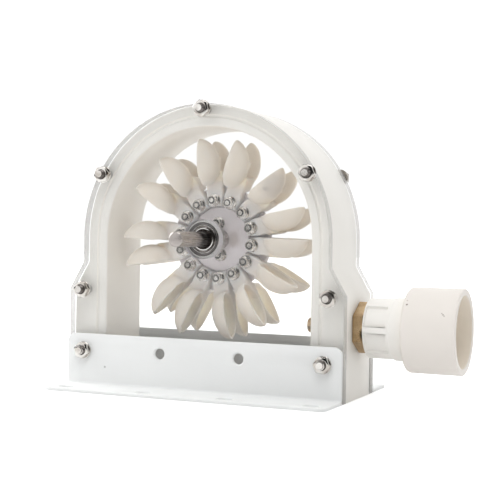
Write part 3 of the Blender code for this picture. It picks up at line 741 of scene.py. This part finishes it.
class TURBINE_OT_panels(bpy.types.Operator):
    """Build the two clear panels with their bearing holes"""
    bl_idname = "turbine.panels"
    bl_label = "Clear Panels"

    def outline(self, sizes):
        crown = round_corner((0, sizes.axis_height), sizes.arch_radius, 0, 180, 72)
        side = [(sizes.base_half, 0), (sizes.base_half, sizes.flare_bottom),
                (sizes.arch_radius, sizes.flare_top)]
        return side + crown + [(-x, z) for x, z in reversed(side)]

    def execute(self, context):
        sizes = context.scene.turbine_housing
        seat = context.scene.turbine_wheel.bearing_radius
        axis, reach = sizes.axis_height, 40 * MM

        def part_of_panel(middle, normal):
            """The clear face, the wall of the bearing's hole or an edge."""
            near_hole = math.hypot(middle.x, middle.z - axis) < seat + 1 * MM
            return 0 if abs(normal.y) > 0.95 else 2 if near_hole else 1

        for name, side in (("front", -1), ("rear", 1)):
            section = [(x, side * sizes.panel_inner, z) for x, z in self.outline(sizes)]
            work = bar(section, (0, side * (sizes.panel_outer - sizes.panel_inner), 0))
            bmesh.ops.remove_doubles(work, verts=work.verts, dist=WELD)
            holes = tie_bolt_holes(context.scene.turbine_fastener.tie_thread + 0.2 * MM, 32)
            holes.append(move(lay_along_y(rod(seat + 0.1 * MM, -reach, reach, steps=96)), 0, 0, axis))
            work = softened(carve(work, gathered(holes)), 0.35 * MM)
            paint(work, part_of_panel)
            finish("clear_panel_" + name, work, "housing", ["clear_face", "clear_edge", "frosted_edge"],
                   [name + "_panel"])
        return {"FINISHED"}


class TURBINE_OT_brackets(bpy.types.Operator):
    """Build the two folded angle brackets"""
    bl_idname = "turbine.brackets"
    bl_label = "Angle Brackets"

    def holes(self, context, back):
        """Cutters for the bolt holes, the flared leg holes and the flange slots."""
        sizes = context.scene.turbine_bracket
        thick, radius, sink = sizes.thick, sizes.leg_hole_radius, 0.9 * MM
        bolt = context.scene.turbine_fastener.tie_thread + 0.3 * MM
        cutters = [move(lay_along_y(rod(bolt, -3 * thick, 2 * thick)), x, 0, z)
                   for name, x, z in TIE_BOLTS if "lower" in name]
        flared = [(0, -3 * thick), (radius + 2 * sink, -3 * thick), (radius + 2 * sink, -thick - sink),
                  (radius, sink - thick), (radius, 2 * thick), (0, 2 * thick)]
        for side in (-1, 1):
            hole = lay_along_y(turned(flared, closed=False, steps=48))
            cutters.append(move(hole, side * sizes.leg_hole_x, 0, sizes.leg_hole_z))
        slot_radius, slot_half = 3 * MM, 2.5 * MM
        for x in SLOT_PLACES:
            slot = rod(slot_radius, -2 * thick, 3 * thick)
            for side in (-1, 1):
                moved = [vert for vert in slot.verts if vert.co.x * side > WELD]
                bmesh.ops.translate(slot, verts=moved, vec=(side * slot_half, 0, 0))
            cutters.append(move(slot, x, back - sizes.slot_y, 0))
        return gathered(cutters)

    def bracket(self, context):
        sizes = context.scene.turbine_bracket
        back = context.scene.turbine_housing.panel_outer + 0.3 * MM
        thick, bend, reach = sizes.thick, sizes.bend, sizes.reach - back
        profile = (round_corner((bend, bend), bend, 180, 270, 8) + [(reach, 0), (reach, thick)]
                   + round_corner((bend, bend), bend - thick, 270, 180, 8)
                   + [(thick, sizes.height), (0, sizes.height)])
        work = bar([(-sizes.half, -y, z) for y, z in profile], (2 * sizes.half, 0, 0))
        corners = []
        for edge in work.edges:
            middle = (edge.verts[0].co + edge.verts[1].co) / 2
            at_end = abs(abs(middle.x) - sizes.half) < WELD
            outer = middle.z > sizes.height - WELD or middle.y < WELD - reach
            if at_end and outer and abs(edge.calc_length() - thick) < WELD:
                corners.append(edge)
        bmesh.ops.bevel(work, geom=corners, offset=sizes.corner, offset_type="OFFSET", segments=8,
                        profile=0.5, affect="EDGES", material=-1, clamp_overlap=False)
        work = softened(carve(work, self.holes(context, back)), 0.35 * MM, 2, 50)
        return move(work, 0, -back, 0)

    def execute(self, context):
        for end, turn in (("front", 0), ("rear", 180)):
            work = rotate(self.bracket(context), turn, "Z")
            finish("bracket_" + end, work, "housing", ["white_coat"], [end + "_bracket"])
        return {"FINISHED"}


class TURBINE_OT_tie_bolts(bpy.types.Operator):
    """Build the seven tie bolts with their nuts and washers"""
    bl_idname = "turbine.tie_bolts"
    bl_label = "Tie Bolts"

    def execute(self, context):
        sizes = context.scene.turbine_fastener
        hole, rim, thick = sizes.tie_thread + 0.2 * MM, sizes.washer_radius, sizes.washer_thick
        washer = [(hole, 0), (rim, 0), (rim, thick - 0.2 * MM), (rim - 0.2 * MM, thick), (hole, thick)]
        for (name, x, z), turn in zip(TIE_BOLTS, TIE_NUT_TURNS):
            face = context.scene.turbine_housing.panel_outer
            if "lower" in name:
                face += context.scene.turbine_bracket.thick + 0.3 * MM
            # Built along Z with the front end up, then laid down to point to the front
            nut = hex_solid(sizes.tie_flats, sizes.tie_nut, bore=sizes.tie_thread + 0.05 * MM)
            work = gathered([
                move(turned(washer), z=face),
                move(rotate(nut, turn, "Z"), z=face + thick),
                threaded(sizes.tie_thread, -face - 1 * MM, face + sizes.tie_proud, 1 * MM, 0.5 * MM,
                         0.6 * MM),
                move(turned([(radius, -height) for radius, height in washer]), z=-face),
                hex_head(sizes.tie_flats, sizes.tie_head, -face - thick)])
            move(rotate(work, 90, "X"), x, 0, z)
            finish("bolt_" + name, work, "housing", ["bolt_steel", "painted_shade_steel"], ["tie_bolt_" + name])
        return {"FINISHED"}


class TURBINE_OT_bearings(bpy.types.Operator):
    """Build the fixed and turning parts of both bearings"""
    bl_idname = "turbine.bearings"
    bl_label = "Bearings"

    def execute(self, context):
        wheel = context.scene.turbine_wheel
        axis = context.scene.turbine_housing.axis_height
        outer, split, bore = wheel.bearing_radius, wheel.bearing_split, wheel.shaft_radius
        width = wheel.bearing_front - wheel.bearing_back
        # Where the outer ring's face ends, then the shield, its lip and the inner ring's face, from the
        # outside in; the grooves lie between them
        ring_end, shield_start, shield_end = 11.4 * MM, 10.85 * MM, 10.1 * MM
        lip_start, lip_end, core_start, core_end = 9.5 * MM, 9.1 * MM, split - 0.3 * MM, 6.9 * MM
        groove = 0.9 * MM
        # Half profiles from the outside in, as (radius, depth below the face)
        ring = [(outer, 0.5 * MM), (outer - 0.4 * MM, 0), (ring_end, 0), (ring_end - 0.15 * MM, groove)]
        shield = [(shield_start + 0.15 * MM, groove), (shield_start, 0.3 * MM), (shield_end, 0.35 * MM),
                  (shield_end - 0.15 * MM, groove), (lip_start + 0.1 * MM, groove), (lip_start, groove / 2),
                  (lip_end, groove / 2), (lip_end - 0.2 * MM, 1.1 * MM), (split, 1.2 * MM)]
        core = [(core_start, 1 * MM), (core_start - 0.15 * MM, 0.3 * MM), (core_end, 0.2 * MM),
                (core_end - 1 * MM, 0.8 * MM), (bore + 0.15 * MM, 1 * MM)]

        def solid(half, place):
            front = [(radius, width / 2 - depth) for radius, depth in half]
            work = turned(front + [(radius, -height) for radius, height in reversed(front)], steps=96)
            return move(lay_along_y(work), 0, place, axis)

        def part_of_fixed(middle, normal):
            """A bright ring, the grey shield or a groove painted dark as shade."""
            far = math.hypot(middle.x, middle.z - axis)
            bright = far > ring_end or lip_end < far < lip_start
            return 0 if bright else 1 if shield_end < far < shield_start else 2

        def part_of_core(middle, normal):
            """The bright ring or a groove painted dark as shade."""
            return not core_end < math.hypot(middle.x, middle.z - axis) < core_start

        for end, side in (("front", -1), ("rear", 1)):
            place = side * (wheel.bearing_front - width / 2)
            fixed = solid(ring + shield, place)
            paint(fixed, part_of_fixed)
            finish(end + "_bearing", fixed, "housing", ["bearing_steel", "shield_steel", "painted_shade_steel"],
                   [end + "_bearing_outer_ring"])
            turning = solid(core, place)
            paint(turning, part_of_core)
            finish(end + "_bearing_core", turning, "wheel", ["bearing_steel", "painted_shade_steel"],
                   [end + "_bearing_inner_ring"])
        return {"FINISHED"}


class TURBINE_OT_shaft(bpy.types.Operator):
    """Build the shaft"""
    bl_idname = "turbine.shaft"
    bl_label = "Shaft"

    def execute(self, context):
        wheel = context.scene.turbine_wheel
        work = rod(wheel.shaft_radius, wheel.shaft_front, wheel.shaft_rear, 0.7 * MM, 96)
        work = softened(work, 0.15 * MM)
        move(lay_along_y(work), 0, 0, context.scene.turbine_housing.axis_height)
        finish("steel_shaft", work, "wheel", ["shaft_steel"], ["shaft"])
        return {"FINISHED"}


class TURBINE_OT_hub(bpy.types.Operator):
    """Build the disc, its flange and its spacer"""
    bl_idname = "turbine.hub"
    bl_label = "Hub"

    def execute(self, context):
        wheel = context.scene.turbine_wheel
        axis = context.scene.turbine_housing.axis_height
        bore, edge = wheel.shaft_radius + 0.1 * MM, 0.4 * MM
        front, plate, rear = wheel.disc_front, wheel.plate_front, wheel.disc_rear
        step, radius = wheel.disc_step, wheel.disc_radius
        disc = turned([(bore, front), (step - edge, front), (step, front + edge), (step, plate),
                       (radius - edge, plate), (radius, plate + edge), (radius, rear - edge),
                       (radius - edge, rear), (bore, rear)], steps=128)
        move(lay_along_y(disc), 0, 0, axis)
        finish("disc", disc, "wheel", ["hub_resin"], ["hub_disc"])
        rear += 0.3 * MM
        wide, narrow, ledge, end = 16 * MM, 10 * MM, rear + 3 * MM, rear + 9.5 * MM
        flange = turned([(bore, rear), (wide, rear), (wide, ledge - edge), (wide - edge, ledge),
                         (narrow + 0.6 * MM, ledge), (narrow, ledge + 0.6 * MM), (narrow, end - edge),
                         (narrow - edge, end), (bore, end)], steps=96)
        screw = lay_along_x(rod(1.6 * MM, 7 * MM, 11 * MM, 0.2 * MM, 24))
        flange = carve(lay_along_y(flange), move(screw, 0, rear + 6.5 * MM, 0))
        move(flange, 0, 0, axis)
        finish("flange", flange, "wheel", ["bearing_steel"], ["shaft_flange"])
        radius, front, rear = 7.2 * MM, -20.2 * MM, -1.8 * MM
        spacer = turned([(bore, front), (radius - edge, front), (radius, front + edge),
                         (radius, rear - edge), (radius - edge, rear), (bore, rear)])
        move(lay_along_y(spacer), 0, 0, axis)
        finish("spacer", spacer, "wheel", ["shaft_steel"], ["shaft_spacer"])
        return {"FINISHED"}


class TURBINE_OT_wheel_bolts(bpy.types.Operator):
    """Build the bolts that hold the buckets and the hub"""
    bl_idname = "turbine.wheel_bolts"
    bl_label = "Wheel Bolts"

    def place(self, context, name, circle, angle, seat, rear, end, turn):
        """Sets a bolt along Y, its nut on the front seat and its head on the rear face."""
        sizes = context.scene.turbine_fastener
        bore, rim = sizes.wheel_thread + 0.05 * MM, sizes.wheel_washer
        washer_top = 0.6 * MM - seat
        top, wide = sizes.wheel_nut, sizes.wheel_flats / 2 - 0.25 * MM
        nut = hex_solid(sizes.wheel_flats, 0.68 * top)
        collar = turned([(bore, 0.5 * top), (wide, 0.5 * top), (wide, top - 0.7 * MM),
                         (wide - 0.2 * MM, top - 0.25 * MM), (wide - 0.5 * MM, top), (wide - 0.75 * MM, top),
                         (wide - 0.85 * MM, top - 0.7 * MM), (bore, top - 0.75 * MM)], steps=48)
        washer = turned([(bore, -seat), (rim, -seat), (rim, washer_top - 0.15 * MM),
                         (rim - 0.15 * MM, washer_top), (bore, washer_top)], steps=48)
        # The collar's inner faces are painted dark as shade
        paint(collar, lambda middle, normal: math.hypot(middle.x, middle.y) < wide - 0.78 * MM)
        work = gathered([
            move(rotate(nut, turn, "Z"), z=washer_top), move(collar, z=washer_top), washer,
            threaded(sizes.wheel_thread, -rear, -end, 0.7 * MM, 0.35 * MM, 0.4 * MM, 24),
            hex_head(sizes.wheel_flats, 2.8 * MM, -rear)])
        axis = context.scene.turbine_housing.axis_height
        move(rotate(work, 90, "X"), circle * math.sin(angle), 0, axis + circle * math.cos(angle))
        finish(name, work, "wheel", ["bolt_steel", "painted_shade_steel"])

    def execute(self, context):
        wheel = context.scene.turbine_wheel
        seat = context.scene.turbine_bucket.stem_front
        end, hub_end, hub_circle, flange_rear = -11.9 * MM, -7 * MM, 10.9 * MM, wheel.disc_rear + 3.3 * MM
        start = math.pi / 2 - FIRST_BOLT_ANGLE
        for index, turn in enumerate(WHEEL_NUT_TURNS):
            self.place(context, "wheel_bolt_%02d" % (index + 1), wheel.bolt_circle,
                       start + index * FULL_TURN / wheel.buckets, seat, wheel.disc_rear, end, turn)
        for index, turn in enumerate(HUB_NUT_TURNS):
            self.place(context, "hub_bolt_%02d" % (index + 1), hub_circle, start + index * math.pi,
                       wheel.disc_front, flange_rear, hub_end, turn)
        return {"FINISHED"}


class TURBINE_OT_buckets(bpy.types.Operator):
    """Build the twin-bowl buckets"""
    bl_idname = "turbine.buckets"
    bl_label = "Buckets"

    def egg(self, sizes, circle, wall, side):
        """An egg with a pointed outer end that leans outward, thinner all round by the wall."""
        tip_power, root_power = 0.55, 0.45
        start = sizes.start + wall - circle
        tip = sizes.tip - wall - circle
        middle, half = (start + tip) / 2, (tip - start) / 2
        widest = (root_power - tip_power) / (root_power + tip_power)
        largest = (1 - widest) ** tip_power * (1 + widest) ** root_power
        work = bmesh.new()
        bmesh.ops.create_uvsphere(work, u_segments=48, v_segments=36, radius=1)
        for vert in work.verts:
            along = max(-1, min(1, vert.co.z))
            ring = math.hypot(vert.co.x, vert.co.y)
            wide = (1 - along) ** tip_power * (1 + along) ** root_power / largest
            grow = wide / ring if ring > WELD else 0
            beyond = max(0, along * half / (half + wall))
            vert.co = (vert.co.x * grow * (sizes.depth - wall) + sizes.rim,
                       vert.co.y * grow * (sizes.half_width - wall)
                       + side * (sizes.middle + sizes.splay * beyond ** 2),
                       middle + along * half)
        return work

    def solid(self, context):
        """Stem, neck, two bowls and the splitter between them; the bolt is at the origin."""
        sizes = context.scene.turbine_bucket
        wheel = context.scene.turbine_wheel
        circle, front, rim = wheel.bolt_circle, sizes.stem_front, sizes.rim
        side = [(4.2 * MM, 22.4 * MM), (6 * MM, 30 * MM), (5.6 * MM, 40 * MM)]
        outline = side + [(-x, z) for x, z in reversed(side)]
        stem_depth = wheel.plate_front - 0.1 * MM - front
        stem = bar([(x, front, z - circle) for x, z in outline], (0, stem_depth, 0))
        neck = block((-6.5 * MM, front, wheel.disc_radius + 0.3 * MM - circle),
                     (7 * MM, -front, 46 * MM - circle))
        for vert in neck.verts:
            if vert.co.z > 18 * MM:
                vert.co.y = math.copysign(7.5 * MM, vert.co.y)
        eggs, hollows = ([self.egg(sizes, circle, wall, lean) for lean in (-1, 1)]
                         for wall in (0, sizes.wall))
        open_side = block((6 * rim, -40 * MM, 30 * MM - circle), (rim, 40 * MM, 2 * sizes.tip))
        work = carve(gathered([stem, neck] + eggs), open_side, use_self=True)
        work = carve(work, gathered(hollows), use_self=True)
        foot = 40 * MM - circle
        splitter = block((rim + 2.6 * MM, -1.2 * MM, foot), (rim + 8 * MM, 1.2 * MM, foot + 16 * MM))
        for vert in splitter.verts:
            if vert.co.z > foot + WELD:
                vert.co.x += 2 * MM
        return gathered([work, splitter])

    def bucket(self, context):
        """One blended bucket pointing up, its open side towards -X, with its masks for the painted glow in
        the hollows and for the paler root.
        """
        sizes = context.scene.turbine_bucket
        circle = context.scene.turbine_wheel.bolt_circle
        obj = to_object("bucket_form", self.solid(context))
        remesh = obj.modifiers.new("remesh", "REMESH")
        remesh.mode = "VOXEL"
        remesh.voxel_size = 0.6 * MM
        smooth = obj.modifiers.new("smooth", "SMOOTH")
        smooth.factor = 0.5
        smooth.iterations = 3
        work = applied(obj)
        joint = [vert for vert in work.verts if 35 * MM < vert.co.z + circle < 42.5 * MM]
        for _ in range(25):
            bmesh.ops.smooth_vert(work, verts=joint, factor=0.5, use_axis_x=True, use_axis_y=True,
                                  use_axis_z=True)

        def share(value):
            return max(0, min(1, value))

        # The "inside" mask says where the hollows get painted bounce light
        inside = work.verts.layers.float.new("inside")
        root = work.verts.layers.float.new("root")
        middle = max(abs(vert.co.y) for vert in work.verts) / 2
        for vert in work.verts:
            side = 1 if vert.co.y > 0 else -1
            inward = side * vert.normal.y * (1 if abs(vert.co.y) < middle else -1)
            facing = max(-vert.normal.x, inward) + 0.2
            deep = (vert.co.x - sizes.rim) / (0.4 * sizes.depth)
            beyond = (vert.co.z - (38 * MM - circle)) / (4 * MM)
            vert[inside] = share(facing * 1.6) * share(deep) * share(beyond)
            vert[root] = share(-vert.co.z / (12 * MM) + 1.2)
        return work

    def execute(self, context):
        wheel = context.scene.turbine_wheel
        axis = context.scene.turbine_housing.axis_height
        form = to_object("bucket_form", self.bucket(context))
        for index, lean in enumerate(BUCKET_LEANS):
            turn = math.pi / 2 - FIRST_BOLT_ANGLE + index * FULL_TURN / wheel.buckets
            work = bmesh.new()
            work.from_mesh(form.data)
            rotate(work, math.degrees(turn) - lean, "Y")
            move(work, wheel.bolt_circle * math.sin(turn), 0, axis + wheel.bolt_circle * math.cos(turn))
            finish("resin_bucket_%02d" % (index + 1), work, "wheel", ["bucket_resin"],
                   ["bucket_%02d" % (index + 1)], smooth=60)
        discard(form)
        return {"FINISHED"}


class TURBINE_OT_inlet(bpy.types.Operator):
    """Build the brass nozzle, the ribbed adapter and the socket"""
    bl_idname = "turbine.inlet"
    bl_label = "Inlet"

    def nozzle(self, sizes, wall):
        thread, tip = sizes.thread, sizes.tip_x
        profile = [(9 * MM, 121 * MM), (thread - 0.8 * MM, 121 * MM), (thread, 120 * MM), (thread, wall),
                   (thread, 77 * MM), (thread - 1 * MM, 75.6 * MM), (6.4 * MM, 74.6 * MM),
                   (6.1 * MM, 74 * MM), (4.9 * MM, tip + 0.4 * MM), (4.5 * MM, tip),
                   (2.9 * MM, tip), (2.6 * MM, tip + 0.3 * MM), (2.6 * MM, 74 * MM), (9 * MM, 86 * MM)]
        hexagon = hex_solid(sizes.hex_flats, sizes.hex_end - wall - 0.3 * MM, chamfer_both=False,
                            bore=thread - 0.5 * MM)
        move(rotate(lay_along_x(hexagon), 30, "X"), wall + 0.3 * MM)
        return gathered([lay_along_x(turned(profile, steps=96)), hexagon])

    def adapter(self, sizes):
        start, end, pocket_start = sizes.hex_end + 0.3 * MM, 140 * MM, sizes.hex_end + 1.5 * MM
        radius, neck = sizes.adapter_radius, sizes.neck_radius
        profile = [(13.4 * MM, start), (radius - 1 * MM, start), (radius - 0.3 * MM, start + 0.3 * MM),
                   (radius, start + 0.9 * MM), (radius, 125.8 * MM), (neck - 0.2 * MM, 126.3 * MM),
                   (neck, 126.8 * MM), (neck, 134.8 * MM), (17 * MM, 134.8 * MM), (17 * MM, end),
                   (12 * MM, end), (12 * MM, 121.3 * MM), (13.4 * MM, 121.3 * MM)]
        # Four pockets leave one rib in front, one behind and a plain band above and below
        floor, rib, last = radius - sizes.pocket_depth, 2 * MM, 50
        first, clear = math.degrees(math.asin(rib / radius)), radius + 4 * MM
        section = round_corner((0, 0), floor, first, last, 12) + round_corner((0, 0), clear, last, first, 1)
        pockets = []
        for flip_y, flip_z in ((-1, -1), (-1, 1), (1, -1), (1, 1)):
            pocket = bar([(pocket_start, flip_y * y, flip_z * z) for y, z in section],
                         (sizes.pocket_end - pocket_start, 0, 0))
            pockets.append(softened(pocket, 0.6 * MM, 3))
        work = lay_along_x(turned(profile, steps=128))
        return softened(carve(work, gathered(pockets)), 0.4 * MM, 2, 50)

    def socket(self, sizes):
        start, end = sizes.socket_start, sizes.socket_end
        radius, bore = sizes.socket_radius, sizes.socket_bore
        back, edge, inner, floor = 2.5 * MM, 0.5 * MM, 17.3 * MM, 140 * MM
        profile = [(inner, start)]
        profile += [(r, -x) for r, x in round_corner((radius - back, -start - back), back, 90, 0, 6)]
        profile += [(radius, end - edge), (radius - edge, end), (bore + edge, end), (bore, end - edge),
                    (bore - 0.3 * MM, floor), (inner, floor)]
        work = lay_along_x(turned(profile, steps=128))
        # The bore's faces get the brighter, warmer copy of the plastic as painted bounce light
        paint(work, lambda middle, normal: math.hypot(middle.y, middle.z) < bore + 0.2 * MM)
        return work

    def execute(self, context):
        sizes = context.scene.turbine_inlet
        wall = context.scene.turbine_housing.base_half
        for name, work, materials, node in (
            ("brass_nozzle", self.nozzle(sizes, wall), ["brass"], "nozzle"),
            ("ribbed_adapter", self.adapter(sizes), ["pipe_white"], "pipe_adapter"),
            ("wide_socket", self.socket(sizes), ["pipe_cream", "pipe_bore_painted_bounce"], "pipe_socket"),
        ):
            finish(name, move(work, z=sizes.height), "housing", materials, [node])
        return {"FINISHED"}


class TURBINE_OT_stage(bpy.types.Operator):
    """Make the floor, the lights and the camera"""
    bl_idname = "turbine.stage"
    bl_label = "Stage"

    def area(self, name, azimuth, elevation, distance, width, height, power):
        """A softbox aimed at the turbine."""
        light = bpy.data.lights.new(name, "AREA")
        light.shape = "RECTANGLE"
        light.size, light.size_y = width, height
        light.energy = power
        obj = bpy.data.objects.new(name, light)
        bpy.context.scene.collection.objects.link(obj)
        side, up = math.radians(azimuth), math.radians(elevation)
        away = Vector((math.sin(side) * math.cos(up), -math.cos(side) * math.cos(up), math.sin(up)))
        obj.location = AIM + away * distance
        obj.rotation_euler = (-away).to_track_quat("-Z", "Y").to_euler()
        obj.visible_camera = False

    def floor(self):
        """A pale floor that the camera sees glow towards the distance, so that no horizon shows."""
        work = bmesh.new()
        bmesh.ops.create_circle(work, cap_ends=True, radius=4, segments=64)
        floor = to_object("stage_floor", work)
        floor.data.shade_smooth()
        material = bpy.data.materials.new("stage_white")
        material.use_nodes = True
        tree = material.node_tree
        place = tree.nodes.new("ShaderNodeTexCoord").outputs["Object"]
        distant = add_range(tree, add_math(tree, "LENGTH", place, vector=True), 0.2, 1.2, 0.4, 0.9)
        seen = tree.nodes.new("ShaderNodeLightPath").outputs["Is Camera Ray"]
        feed_all(tree, tree.nodes["Principled BSDF"].inputs, {
            "Base Color": (0.9, 0.9, 0.9, 1), "Roughness": 0.9, "Emission Strength": 1.0,
            "Emission Color": add_math(tree, "MULTIPLY", distant, seen)})
        floor.data.materials.append(material)

    def world(self, scene):
        """White to the camera; the rest is lit from the back half only."""
        world = bpy.data.worlds.new("studio")
        scene.world = world
        world.use_nodes = True
        tree = world.node_tree
        tree.nodes.clear()
        parts = tree.nodes.new("ShaderNodeSeparateXYZ")
        feed(tree, parts.inputs["Vector"], tree.nodes.new("ShaderNodeTexCoord").outputs["Generated"])
        behind = add_range(tree, parts.outputs["Y"], -0.3, 0.3, 0.0, WORLD_BEHIND)
        mix = tree.nodes.new("ShaderNodeMixShader")
        feed(tree, mix.inputs["Fac"], tree.nodes.new("ShaderNodeLightPath").outputs["Is Camera Ray"])
        for place, strength in ((1, behind), (2, WORLD_SEEN)):
            background = tree.nodes.new("ShaderNodeBackground")
            feed_all(tree, background.inputs, {"Color": WHITE, "Strength": strength})
            feed(tree, mix.inputs[place], background.outputs["Background"])
        output = tree.nodes.new("ShaderNodeOutputWorld")
        feed(tree, output.inputs["Surface"], mix.outputs["Shader"])

    def camera(self, scene):
        """The photograph's camera, to the right of the front and nearly level."""
        data = bpy.data.cameras.new("camera")
        data.lens = CAMERA_LENS
        data.sensor_width = 36
        data.clip_start, data.clip_end = 0.01, 20
        camera = bpy.data.objects.new("camera", data)
        scene.collection.objects.link(camera)
        camera.location = CAMERA_PLACE
        heading, tilt, roll = (math.radians(angle) for angle in CAMERA_TURNS)
        turn = (Matrix.Rotation(heading, 4, "Z") @ Matrix.Rotation(tilt, 4, "X")
                @ Matrix.Rotation(roll, 4, "Z"))
        camera.rotation_euler = turn.to_euler()
        scene.camera = camera

    def execute(self, context):
        scene = context.scene
        scene.view_settings.view_transform = "Standard"
        self.floor()
        self.world(scene)
        self.camera(scene)
        for light in LIGHTS:
            self.area(*light)
        return {"FINISHED"}


OPERATORS = (
    TURBINE_OT_materials,
    TURBINE_OT_stage,
    TURBINE_OT_body,
    TURBINE_OT_panels,
    TURBINE_OT_brackets,
    TURBINE_OT_tie_bolts,
    TURBINE_OT_bearings,
    TURBINE_OT_shaft,
    TURBINE_OT_hub,
    TURBINE_OT_wheel_bolts,
    TURBINE_OT_buckets,
    TURBINE_OT_inlet,
)


class TURBINE_PT_sidebar(bpy.types.Panel):
    """Sizes, colours and pieces of the turbine"""
    bl_idname = "TURBINE_PT_sidebar"
    bl_label = "Bench Pelton Turbine"
    bl_space_type = "VIEW_3D"
    bl_region_type = "UI"
    bl_category = "Turbine"

    def draw(self, context):
        for operator in OPERATORS:
            self.layout.operator(operator.bl_idname)
        for name, group in SIZE_GROUPS.items():
            box = self.layout.box()
            sizes = getattr(context.scene, name)
            for label in group.__annotations__:
                box.prop(sizes, label)


def register():
    for name, group in SIZE_GROUPS.items():
        bpy.utils.register_class(group)
        setattr(bpy.types.Scene, name, PointerProperty(type=group))
    for operator in OPERATORS:
        bpy.utils.register_class(operator)
    bpy.utils.register_class(TURBINE_PT_sidebar)


def unregister():
    bpy.utils.unregister_class(TURBINE_PT_sidebar)
    for operator in reversed(OPERATORS):
        bpy.utils.unregister_class(operator)
    for name, group in SIZE_GROUPS.items():
        delattr(bpy.types.Scene, name)
        bpy.utils.unregister_class(group)


def main():
    register()
    for operator in OPERATORS:
        family, action = operator.bl_idname.split(".")
        getattr(getattr(bpy.ops, family), action)()


if __name__ == "__main__":
    main()
